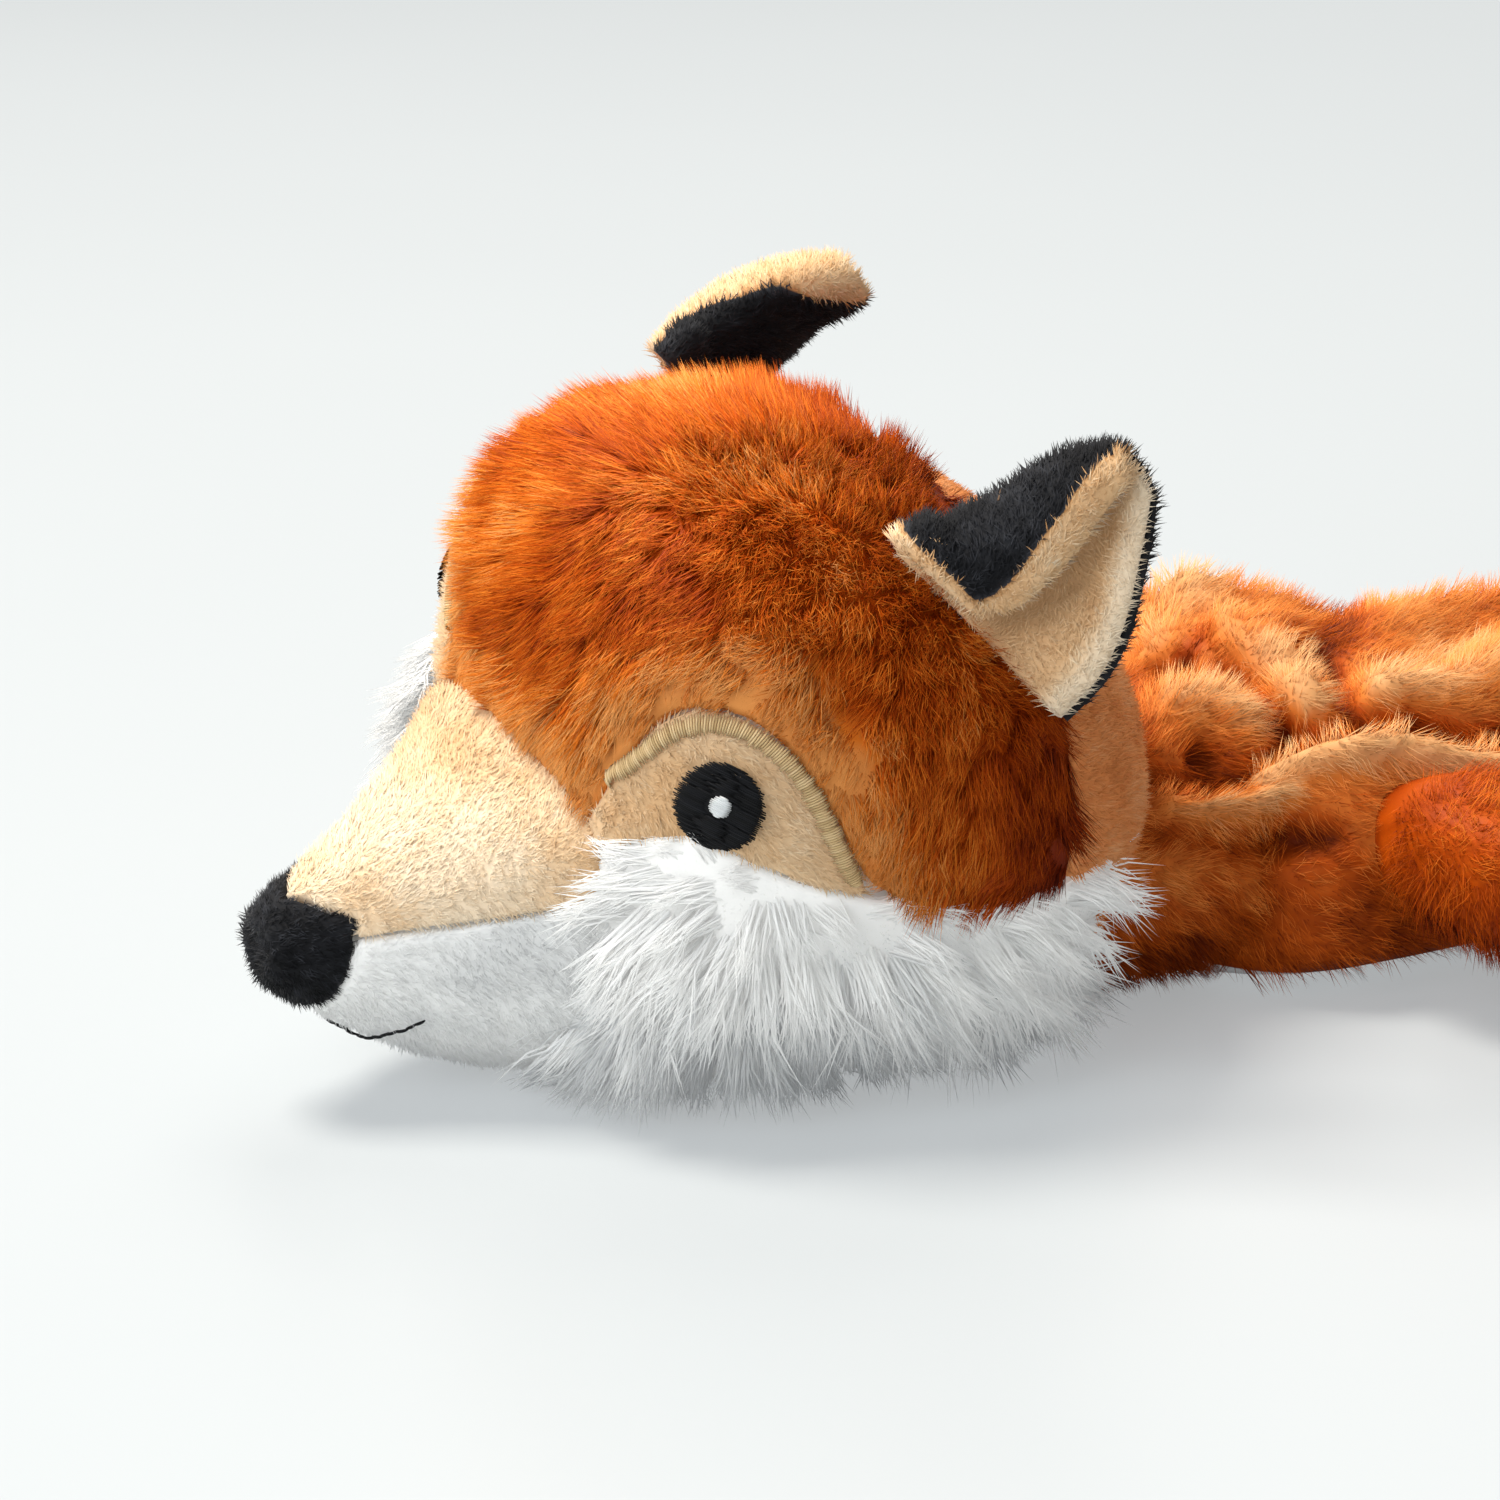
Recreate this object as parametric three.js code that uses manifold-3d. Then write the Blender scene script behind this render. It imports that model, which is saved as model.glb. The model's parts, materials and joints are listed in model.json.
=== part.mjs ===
// A plush fox lying on its belly: a stuffed head on a soft neck, a flat folded body in two halves,
// four legs and a brush tail. Millimetres, +Z up, nose towards -Y, the fox's left side towards +X.
// The origin is on the floor under the middle of the front body.
import * as THREE from "three";
import { mergeVertices } from "three/addons/utils/BufferGeometryUtils.js";
import Module from "manifold-3d";

const wasm = await Module();
wasm.setup();

// Clearances and cloth
const seamGap = 0.4; // between two panels sewn edge to edge
const seamValley = 0.7; // from a seam to the outer edge of a panel
const restGap = 0.35; // between a piece and what it lies on
const hingeGap = 0.3; // between a limb's round root and the body
const cutOverrun = 2; // how far a cutting shape runs past a face
const clothThickness = 2.4; // short plush with its backing
const crownPile = 5; // long plush on the crown
const ruffPile = 9; // longest plush on the cheeks
const floorCut = 0.5; // how flat a soft form lies on the floor
const floorPadding = 3.6; // plush squeezed between the stuffing and the floor

// Head
const headLength = 128; // stuffing, from nose to back of head
const headWidth = 96;
const headHeight = 88.5;
const noseReach = 84; // from the middle of the skull to the front of the stuffing
const headLift = 43; // middle of the skull above the floor
const headRoll = THREE.MathUtils.degToRad(12); // the left cheek lies lower

// Front body
const bodyLength = 110;
const bodyHalfWidth = 39;
const bodyHeight = 44;
const bodySeamHeight = 7; // where the back cloth meets the belly cloth
const bodyLean = 5; // how much higher the right flank lies
const foldDepth = 5; // lengthwise folds in the back
const foldCount = 3;
const foldWave = 17; // length over which a fold wanders

// Neck
const neckHalfWidth = 29;
const neckRadius = 21; // half its height, and the round of its front end
const neckReach = 10; // from the front of the body to the neck's upright hinge line
const neckSet = 10; // from that line back to the line that the head nods about
const neckHollow = 130; // how the front end bends round the back of the head

// Hind body
const rumpLength = 92;
const rumpHalfWidth = 42;
const waistRadius = 18; // round of its front end

// Legs and paws
const legLength = 46; // from the hinge line to the paw
const legHalfWidth = 17;
const legRadius = 11.5; // half the thickness of a leg
const pawLength = 27;
const legSlope = THREE.MathUtils.degToRad(7); // down towards the paw
const foreLeg = { place: -28, height: 24, turn: THREE.MathUtils.degToRad(22) };
const hindLeg = { place: 61, height: 21, turn: THREE.MathUtils.degToRad(36) };

// Tail
const tailLength = 118;
const tailRadius = 11;
const tailHalfWidth = 26;
const tailLift = 12; // middle of the tail above the floor
const tailTipLength = 64;
const tailTipRadius = 10;

// Ears
const earHeight = 30;
const earLayer = 1.8; // one cloth layer of an ear
const rightEarBend = THREE.MathUtils.degToRad(-24); // its tip leans over towards the middle of the head

// Embroidery
const eyeRadius = 5.9;
const glintRadius = 1.45;
const threadHeight = 1; // how far a filled shape of thread stands up
const browWidth = 2.5;
const browHeight = 1.4;
const mouthWidth = 1;

// Squeakers
const headSqueaker = { radius: 17, height: 20, reedRadius: 5, reedLength: 9, fromBack: 32 };
const bodySqueaker = { radius: 20, height: 16, reedRadius: 4.5, reedLength: 8, place: 8 };
const rumpSqueaker = { ...bodySqueaker, place: 45 };

const rust = { color: 0xb4511b, roughness: 0.9 };
const amber = { color: 0xc97a3c, roughness: 0.9 };
const tan = { color: 0xdcae7c, roughness: 0.9 };
const white = { color: 0xeeece8, roughness: 0.95 };
const black = { color: 0x16171a, roughness: 0.9 };
const gold = { color: 0xb08d4f, roughness: 0.6 };
const filling = { color: 0xf3f1ec, roughness: 1 };
const plastic = { color: 0xe8e6dc, roughness: 0.4 };
const reedPlastic = { color: 0xd9dde0, roughness: 0.35 };

// The round end of a limb: degrees round its hinge line, and its width there.
const rootAngles = [12, 35, 60, 90];
const rootWidthShares = [0.86, 0.94, 0.98, 1];

const mix = THREE.MathUtils.lerp;
const clamp = THREE.MathUtils.clamp;
const fox = new THREE.Group();

function cloth(name, geometry, finish) {
  const mesh = new THREE.Mesh(geometry, new THREE.MeshStandardMaterial({ metalness: 0, ...finish }));
  mesh.name = name;
  return mesh;
}

// Makes one closed geometry from triangles given as three points each, with its faces pointing out.
function closedGeometry(triangles) {
  const loose = new THREE.BufferGeometry().setFromPoints(triangles.flat());
  const merged = mergeVertices(loose, 1e-4);
  const index = merged.index.array;
  const kept = [];
  for (let i = 0; i < index.length; i += 3) {
    const [a, b, c] = [index[i], index[i + 1], index[i + 2]];
    if (a !== b && b !== c && a !== c) kept.push(a, b, c);
  }
  const corner = (n) => new THREE.Vector3().fromBufferAttribute(merged.attributes.position, n);
  let volume = 0;
  for (let i = 0; i < kept.length; i += 3)
    volume += corner(kept[i]).dot(corner(kept[i + 1]).cross(corner(kept[i + 2])));
  if (volume < 0) for (let i = 0; i < kept.length; i += 3) [kept[i], kept[i + 1]] = [kept[i + 1], kept[i]];
  merged.setIndex(kept);
  return merged;
}

// Two triangles for the four-sided patch a, b, c, d, and the same two seen from behind.
const patch = (a, b, c, d) => [
  [a, b, c],
  [a, c, d],
];
const backPatch = (a, b, c, d) => patch(a, d, c, b);

// Skins a row of rings, each a closed loop of points, and closes both ends round their middles.
function loft(rings) {
  const triangles = [];
  for (let i = 0; i + 1 < rings.length; i++)
    rings[i].forEach((p, k) => {
      const next = (k + 1) % rings[i].length;
      triangles.push(...patch(p, rings[i][next], rings[i + 1][next], rings[i + 1][k]));
    });
  for (const [ring, turned] of [
    [rings[0], true],
    [rings[rings.length - 1], false],
  ]) {
    const middle = ring.reduce((sum, p) => sum.add(p), new THREE.Vector3()).divideScalar(ring.length);
    ring.forEach((p, k) => {
      const next = ring[(k + 1) % ring.length];
      triangles.push(turned ? [middle, next, p] : [middle, p, next]);
    });
  }
  return closedGeometry(triangles);
}

// A soft tube along +Y. A station is { y, wide, up, down, x, z }: half width, height over and under z.
// relief lowers the upper side by its value at a share of the half width and a place along the tube.
function softTube(stations, { sides, boxy = 1, lowest = -Infinity, relief = () => 0 }) {
  const power = (v) => Math.sign(v) * Math.abs(v) ** boxy;
  return loft(
    stations.map(({ y, wide, up, down = up, x = 0, z = 0 }) =>
      Array.from({ length: sides }, (_, k) => {
        const angle = ((k + 0.5) / sides) * Math.PI * 2;
        const across = power(Math.cos(angle));
        const over = Math.sin(angle) > 0;
        const sunk = over ? relief(across, y) * Math.sin(angle) : 0;
        const level = z + (over ? up : down) * power(Math.sin(angle)) - sunk;
        return new THREE.Vector3(x + across * wide, y, Math.max(level, lowest));
      }),
    ),
  );
}

// Stations of a round end about a line across the tube, at y = 0.
const roundEnd = (radius, wide) =>
  rootAngles.map((degrees, k) => {
    const angle = THREE.MathUtils.degToRad(degrees);
    const share = rootWidthShares[k];
    return { y: -radius * Math.cos(angle), up: radius * Math.sin(angle), wide: wide * share };
  });

function solidOf(geometry) {
  const merged = plain(geometry);
  return new wasm.Manifold(
    new wasm.Mesh({
      numProp: 3,
      vertProperties: new Float32Array(merged.attributes.position.array),
      triVerts: new Uint32Array(merged.index.array),
    }),
  );
}

function cutAway(geometry, ...cutters) {
  const cut = cutters.reduce((solid, cutter) => solid.subtract(solidOf(cutter)), solidOf(geometry));
  const { vertProperties, triVerts } = cut.getMesh();
  return new THREE.BufferGeometry()
    .setAttribute("position", new THREE.BufferAttribute(vertProperties, 3))
    .setIndex(new THREE.BufferAttribute(triVerts, 1));
}

function mirrored(geometry) {
  const copy = geometry.clone().scale(-1, 1, 1);
  const index = copy.index.array;
  for (let i = 0; i < index.length; i += 3) [index[i], index[i + 1]] = [index[i + 1], index[i]];
  return copy;
}

// Drops what a ready-made shape carries beside its points, and joins its loose triangles.
function plain(geometry) {
  const bare = geometry.clone();
  bare.deleteAttribute("normal");
  bare.deleteAttribute("uv");
  return mergeVertices(bare, 1e-4);
}

// Points spread over the faces of some cloth, fine enough to measure a clearance from.
function pointsOver(...geometries) {
  const steps = 4;
  return geometries.flatMap((geometry) => {
    const { position } = geometry.attributes;
    const corner = (n) => new THREE.Vector3().fromBufferAttribute(position, geometry.index.array[n]);
    const points = [];
    for (let i = 0; i < geometry.index.count; i += 3)
      for (let u = 0; u <= steps; u++)
        for (let v = 0; u + v <= steps; v++)
          points.push(
            corner(i)
              .multiplyScalar((steps - u - v) / steps)
              .addScaledVector(corner(i + 1), u / steps)
              .addScaledVector(corner(i + 2), v / steps),
          );
    return points;
  });
}

// How far an axis has to be lifted along a direction to keep a round root clear of the given points.
function liftClear(points, from, axis, direction, radius, span) {
  const square = (v) => v.clone().addScaledVector(axis, -v.dot(axis));
  const rise = square(direction);
  return points.reduce((lift, point) => {
    const offset = point.clone().sub(from);
    const along = offset.dot(axis);
    if (along < -radius || along > span + radius) return lift;
    const away = square(offset);
    const ahead = away.dot(rise);
    const room = ahead ** 2 - rise.lengthSq() * (away.lengthSq() - radius ** 2);
    return room > 0 ? Math.max(lift, (ahead + Math.sqrt(room)) / rise.lengthSq()) : lift;
  }, 0);
}

// Head

// Profile of the stuffing at places along the head: share of headLength from the nose, then the level
// of its widest line, its top and its underside as shares of headHeight from the middle of the skull,
// its half width as a share of headWidth, and how boxy it is there, from 1 for an ellipse.
const headProfileShares = [
  [0, -0.212, -0.212, -0.212, 0, 1],
  [0.008, -0.212, -0.168, -0.256, 0.04, 1],
  [0.03, -0.212, -0.14, -0.286, 0.064, 1],
  [0.065, -0.208, -0.12, -0.305, 0.078, 0.95],
  [0.1102, -0.19, -0.082, -0.36, 0.11, 0.9],
  [0.1876, -0.155, -0.025, -0.42, 0.17, 0.8],
  [0.2515, -0.115, 0.045, -0.45, 0.22, 0.7],
  [0.2965, -0.08, 0.08, -0.456, 0.27, 0.52],
  [0.3122, -0.065, 0.3, -0.458, 0.31, 0.66],
  [0.3436, -0.055, 0.43, -0.46, 0.37, 0.72],
  [0.3907, -0.045, 0.5, -0.464, 0.425, 0.75],
  [0.4766, -0.035, 0.535, -0.468, 0.472, 0.78],
  [0.5813, -0.02, 0.53, -0.47, 0.497, 0.8],
  [0.6964, -0.015, 0.485, -0.47, 0.5, 0.8],
  [0.7969, -0.01, 0.41, -0.455, 0.48, 0.85],
  [0.8744, -0.005, 0.33, -0.41, 0.42, 0.9],
  [0.9372, 0, 0.24, -0.33, 0.33, 1],
  [0.977, 0, 0.15, -0.2, 0.21, 1],
  [1, 0, 0, 0, 0, 1],
];

function headProfile(share) {
  const rows = headProfileShares;
  const n = clamp(
    rows.findIndex((row) => row[0] > share),
    1,
    rows.length - 1,
  );
  const [low, high] = share >= 1 ? [rows[rows.length - 1], rows[rows.length - 1]] : [rows[n - 1], rows[n]];
  const t = high === low ? 0 : (share - low[0]) / (high[0] - low[0]);
  const [, level, top, under, half, fullness] = low.map((v, k) => mix(v, high[k], t));
  return {
    fullness,
    level: level * headHeight,
    rise: (top - level) * headHeight,
    drop: (level - under) * headHeight,
    half: half * headWidth,
  };
}

// The sewing grid. Each row is a line round the head: its place along the head where it crosses
// the underside, the muzzle seam, the brow and the top, as shares of headLength.
const ringPlaceShares = [
  [0, 0, 0, 0],
  [0.008, 0.008, 0.008, 0.006],
  [0.025, 0.04, 0.027, 0.014],
  [0.05, 0.08, 0.055, 0.024],
  [0.11, 0.13, 0.11, 0.075],
  [0.17, 0.18, 0.17, 0.145],
  [0.231, 0.236, 0.229, 0.215],
  [0.2965, 0.2965, 0.2965, 0.2935],
  [0.351, 0.353, 0.334, 0.312],
  [0.403, 0.403, 0.372, 0.347],
  [0.461, 0.458, 0.411, 0.403],
  [0.524, 0.52, 0.445, 0.477],
  [0.602, 0.602, 0.539, 0.56],
  [0.686, 0.686, 0.655, 0.655],
  [0.765, 0.765, 0.754, 0.759],
  [0.843, 0.843, 0.854, 0.867],
  [0.922, 0.922, 0.927, 0.937],
  [0.977, 0.977, 0.977, 0.979],
  [1, 1, 1, 1],
];
// Degrees above the widest line, for each of those rows, of the muzzle seam, the cheek line and the brow.
const seamAngles = [
  [20, 35, 52],
  [20, 35, 52],
  [20, 35, 52],
  [20, 35, 52],
  [16, 34, 52],
  [12, 33, 52],
  [7, 32, 52],
  [3, 30, 46],
  [-3, 14, 41.5],
  [-7, 8, 37],
  [-9, 5, 31],
  [-10, 3, 23],
  [-11, 1, 29],
  [-12, 0, 33],
  [-12, 0, 36],
  [-12, 0, 39],
  [-12, 0, 42],
  [-12, 0, 43],
  [-12, 0, 43],
];
const throatAngle = -66; // degrees, where each cheek ends under the head
// Rows from the nose tip to each seam, and lines from the underside up to each seam.
const noseRowCount = 3;
const browRowCount = 7;
const browEndRowCount = 11;
const crownEndRowCount = 14;
const napeRowCount = 15;
const backRowCount = 18;
const throatLineCount = 1;
const muzzleLineCount = 5;
const cheekLineCount = 6;
const browLineCount = 9;
const topLineCount = 12;
const columnCount = topLineCount * 2;

// Value at a line between key lines, each given as [line, value].
function between(keys, line) {
  const n = Math.max(
    1,
    keys.findIndex(([at]) => at >= line),
  );
  const [[a, va], [b, vb]] = [keys[n - 1], keys[n]];
  return mix(va, vb, (line - a) / (b - a));
}

function headPoint(row, column) {
  const line = column <= topLineCount ? column : columnCount - column;
  const [underPlace, seamPlace, browPlace, topPlace] = ringPlaceShares[row];
  const place = between(
    [
      [0, underPlace],
      [cheekLineCount, seamPlace],
      [browLineCount, browPlace],
      [topLineCount, topPlace],
    ],
    line,
  );
  const [muzzleAngle, cheekAngle, browAngle] = seamAngles[row];
  const degrees = between(
    [
      [0, -90],
      [throatLineCount, throatAngle],
      [muzzleLineCount, muzzleAngle],
      [cheekLineCount, cheekAngle],
      [browLineCount, browAngle],
      [topLineCount, 90],
    ],
    line,
  );
  const angle = THREE.MathUtils.degToRad(degrees);
  const { level, rise, drop, half, fullness } = headProfile(place);
  const side = column <= topLineCount ? 1 : -1;
  const boxy = angle > 0 ? fullness : 1;
  const out = Math.abs(Math.cos(angle)) ** boxy;
  const height = Math.sign(angle) * Math.abs(Math.sin(angle)) ** boxy;
  return new THREE.Vector3(
    side * half * (line % topLineCount === 0 ? 0 : out),
    place * headLength - noseReach,
    level + (angle > 0 ? rise : drop) * height,
  );
}

const headUp = new THREE.Vector3(-Math.sin(headRoll), 0, Math.cos(headRoll));
// Keeps a point of the rolled head a given height above the floor.
function aboveFloor(point, height) {
  const short = height - headLift - point.dot(headUp);
  return short > 0 ? point.clone().addScaledVector(headUp, short) : point;
}

const headGrid = ringPlaceShares.map((_, row) =>
  Array.from({ length: columnCount }, (_, column) => headPoint(row, column)),
);

function headNormal(row, column) {
  if (row === 0) return new THREE.Vector3(0, -1, 0);
  if (row === backRowCount) return new THREE.Vector3(0, 1, 0);
  const [left, right] = [(column + columnCount - 1) % columnCount, (column + 1) % columnCount];
  const here = headGrid[row][column];
  const through = (before, after) =>
    after.clone().sub(here).normalize().add(here.clone().sub(before).normalize());
  const across = through(headGrid[row][left], headGrid[row][right]);
  const along = through(headGrid[row - 1][column], headGrid[row + 1][column]);
  return along.cross(across).normalize();
}

// A point over or under the head's sewing grid.
const overHead = (row, column, height, floorHeight) =>
  aboveFloor(headGrid[row][column].clone().addScaledVector(headNormal(row, column), height), floorHeight);

// A panel of cloth over the cells of the grid that belong to it. pile gives its thickness at a node,
// and at its seams it is pressed down to the thickness of plain cloth.
function headPanel(belongs, pile = () => clothThickness) {
  const own = (row, column) =>
    row >= 0 && row < backRowCount && belongs(row, (column + columnCount) % columnCount);
  const cellMiddle = (row, column, height) =>
    [
      [0, 0],
      [1, 0],
      [0, 1],
      [1, 1],
    ]
      .reduce((sum, [r, c]) => {
        const node = overHead(row + r, (column + c + columnCount) % columnCount, height, 0);
        return sum.add(node);
      }, new THREE.Vector3())
      .divideScalar(4);
  const corner = (row, column, height, floorHeight, seam) => {
    const cells = [
      [row - 1, column - 1],
      [row - 1, column],
      [row, column - 1],
      [row, column],
    ].filter(([r]) => r >= 0 && r < backRowCount);
    const mine = cells.filter(([r, c]) => own(r, c));
    const whole = mine.length === cells.length;
    const rise = whole ? height : Math.min(height, clothThickness);
    const point = overHead(row, column % columnCount, rise, floorHeight);
    if (whole) return point;
    const middle = mine
      .reduce((sum, [r, c]) => sum.add(cellMiddle(r, c, rise)), new THREE.Vector3())
      .divideScalar(mine.length);
    const inwards = middle.sub(point).normalize();
    return point.addScaledVector(inwards, seam * (mine.length === 2 ? 1 : Math.SQRT2));
  };
  const inner = (row, column) => corner(row, column, restGap, floorPadding - restGap, seamGap / 2);
  const outer = (row, column) => corner(row, column, pile(row, column % columnCount), 0, seamValley);
  const triangles = [];
  for (let row = 0; row < backRowCount; row++)
    for (let column = 0; column < columnCount; column++) {
      if (!own(row, column)) continue;
      const round = [
        [row, column],
        [row, column + 1],
        [row + 1, column + 1],
        [row + 1, column],
      ];
      triangles.push(...patch(...round.map(([r, c]) => outer(r, c))));
      triangles.push(...backPatch(...round.map(([r, c]) => inner(r, c))));
      const neighbours = [
        [row - 1, column],
        [row, column + 1],
        [row + 1, column],
        [row, column - 1],
      ];
      neighbours.forEach(([r, c], k) => {
        if (own(r, c)) return;
        // Both panels at a seam split its wall the same way, so that the walls stay side by side.
        const [p, q] = [round[k], round[(k + 1) % 4]];
        const onwards = p[0] < q[0] || (p[0] === q[0] && p[1] < q[1]);
        const wall = [inner(...p), inner(...q), outer(...q), outer(...p)];
        triangles.push(...(onwards ? patch(...wall) : patch(wall[3], ...wall.slice(0, 3))));
      });
    }
  return closedGeometry(triangles);
}

// The line of the grid that bounds a cell from below, the same on both sides.
const cellLine = (column) => (column < topLineCount ? column : columnCount - 1 - column);
const onLeft = (column) => column < topLineCount;
const inEyePatch = (row, line) =>
  row >= browRowCount && row < browEndRowCount && line >= cheekLineCount && line < browLineCount;
const inSkull = (row) => row >= browRowCount && row < napeRowCount;
const inNape = (row, line) =>
  row >= napeRowCount || (row >= crownEndRowCount && line >= cheekLineCount);
const onCheek = (line) => line >= throatLineCount && line < cheekLineCount;

const head = new THREE.Group();
const headSqueakerPlace = headLength - noseReach - headSqueaker.fromBack;

function headStuffing() {
  const core = loft(
    headGrid
      .slice(1, backRowCount)
      .map((ring) => ring.map((point) => aboveFloor(point.clone(), floorPadding))),
  );
  // A pocket from the back of the head holds the squeaker.
  const radius = headSqueaker.radius + restGap;
  const from = headSqueakerPlace - restGap;
  const length = headSqueaker.fromBack + restGap + cutOverrun;
  const pocket = new THREE.CylinderGeometry(radius, radius, length, 20);
  return cutAway(core, pocket.translate(0, from + length / 2, 0));
}

// A squeaker along +Y: a soft bulb with a socket for its reed.
const bulbShares = [
  [0, 0],
  [0.82, 0],
  [1, 0.2],
  [1, 0.8],
  [0.82, 1],
];
function squeakerBulb({ radius, height, reedRadius, reedLength }) {
  const [socket, floor] = [reedRadius + restGap, height - reedLength - restGap];
  const outline = [
    ...bulbShares.map(([out, up]) => [out * radius, up * height]),
    [socket, height],
    [socket, floor],
    [0, floor],
  ];
  return plain(
    new THREE.LatheGeometry(
      outline.map(([out, up]) => new THREE.Vector2(out, up)),
      20,
    ),
  );
}
const squeakerReed = ({ height, reedRadius, reedLength }) =>
  plain(
    new THREE.CylinderGeometry(reedRadius, reedRadius, reedLength, 14).translate(
      0,
      height - reedLength / 2,
      0,
    ),
  );

head.add(cloth("head_stuffing", headStuffing(), filling));
head.add(cloth("nose", headPanel((row) => row < noseRowCount, () => clothThickness), black));
head.add(
  cloth(
    "muzzle_top",
    headPanel(
      (row, column) => row >= noseRowCount && row < browRowCount && cellLine(column) >= muzzleLineCount,
      () => clothThickness,
    ),
    tan,
  ),
);
head.add(
  cloth(
    "jaw",
    headPanel((row, column) => {
      const line = cellLine(column);
      const underMuzzle = row >= noseRowCount && row < browRowCount && line < muzzleLineCount;
      return underMuzzle || (inSkull(row) && line < throatLineCount);
    }, () => clothThickness),
    white,
  ),
);
head.add(
  cloth(
    "crown",
    headPanel((row, column) => {
      const line = cellLine(column);
      return inSkull(row) && line >= cheekLineCount && !inEyePatch(row, line) && !inNape(row, line);
    }, () => crownPile),
    rust,
  ),
);
head.add(
  cloth(
    "back_of_head",
    headPanel((row, column) => inNape(row, cellLine(column)), () => clothThickness),
    amber,
  ),
);
for (const [side, left] of [
  ["left", true],
  ["right", false],
]) {
  head.add(
    cloth(
      `${side}_cheek_ruff`,
      headPanel(
        (row, column) => inSkull(row) && onCheek(cellLine(column)) && onLeft(column) === left,
        (row, column) => {
          // The pile stands highest in the middle of the cheek.
          const line = column <= topLineCount ? column : columnCount - column;
          const across = (line - throatLineCount) / (cheekLineCount - throatLineCount);
          const along = clamp((row - browRowCount) / 2, 0, 1);
          return mix(clothThickness, ruffPile, along * Math.sin(Math.PI * clamp(across, 0, 1)));
        },
      ),
      white,
    ),
  );
  head.add(
    cloth(
      `${side}_eye_patch`,
      headPanel(
        (row, column) => inEyePatch(row, cellLine(column)) && onLeft(column) === left,
        () => clothThickness,
      ),
      tan,
    ),
  );
}

for (const [name, piece, finish] of [
  ["head_squeaker_bulb", squeakerBulb, plastic],
  ["head_squeaker_reed", squeakerReed, reedPlastic],
])
  head.add(cloth(name, piece(headSqueaker).translate(0, headSqueakerPlace, 0), finish));

// Embroidery on the cloth of the head, at places given as [row, line] between the nodes of the grid.
function onHead([row, line], height) {
  const [r, c] = [Math.floor(row), Math.floor(line)];
  const corner = (dr, dc) => {
    const weight = (dr ? row - r : 1 + r - row) * (dc ? line - c : 1 + c - line);
    return overHead(r + dr, c + dc, height, 0).multiplyScalar(weight);
  };
  return corner(0, 0).add(corner(0, 1)).add(corner(1, 0)).add(corner(1, 1));
}
const outOfHead = (place) => onHead(place, earLayer).sub(onHead(place, 0)).normalize();

const threadSides = 8;
// A raised row of thread along some places.
function stitchRow(places, width, height) {
  const middles = places.map((place) => onHead(place, clothThickness + seamGap));
  return loft(
    middles.map((middle, i) => {
      const ahead = middles[Math.min(i + 1, middles.length - 1)].clone();
      const along = ahead.sub(middles[Math.max(i - 1, 0)]).normalize();
      const out = outOfHead(places[i]);
      const across = along.clone().cross(out).normalize();
      return Array.from({ length: threadSides }, (_, k) => {
        const angle = ((2 * k) / threadSides) * Math.PI;
        return middle
          .clone()
          .addScaledVector(across, (width / 2) * Math.cos(angle))
          .addScaledVector(out, (height / 2) * (1 + Math.sin(angle)));
      });
    }),
  );
}

const eyeGridShares = [8.6, 6.9];
const browGridShares = [
  [7.35, 8.62],
  [8, 8.62],
  [8.6, 8.62],
  [9.3, 8.62],
  [10, 8.62],
  [10.62, 8.55],
  [10.66, 8],
  [10.66, 7.4],
  [10.66, 6.8],
  [10.66, 6.35],
];
const mouthGridShares = [
  [3.6, 0.75],
  [3.9, 0.95],
  [4.2, 1.25],
  [4.42, 1.75],
  [4.55, 2.4],
];

function onEye(geometry) {
  const out = outOfHead(eyeGridShares);
  const foot = onHead(eyeGridShares, clothThickness);
  // The flat thread lies clear of the highest point of the cloth under it.
  const cloths = pointsOver(head.getObjectByName("left_eye_patch").geometry);
  const under = cloths.filter((point) => point.distanceTo(foot) < eyeRadius * 1.2);
  const lift = Math.max(...under.map((point) => point.clone().sub(foot).dot(out))) + restGap;
  const turn = new THREE.Quaternion().setFromUnitVectors(new THREE.Vector3(0, 1, 0), out);
  return geometry.applyQuaternion(turn).translate(...foot.addScaledVector(out, lift).toArray());
}
const eyeHole = glintRadius + restGap;
const eyeRing = [
  [eyeHole, 0],
  [eyeRadius, 0],
  [eyeRadius, threadHeight / 2],
  [eyeRadius - threadHeight / 2, threadHeight],
  [eyeHole, threadHeight],
  [eyeHole, 0],
].map(([out, up]) => new THREE.Vector2(out, up));
const glint = new THREE.CylinderGeometry(glintRadius, glintRadius, threadHeight, 12);
glint.translate(0, threadHeight / 2, 0);

const acrossX = new THREE.Vector3(1, 0, 0);

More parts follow.
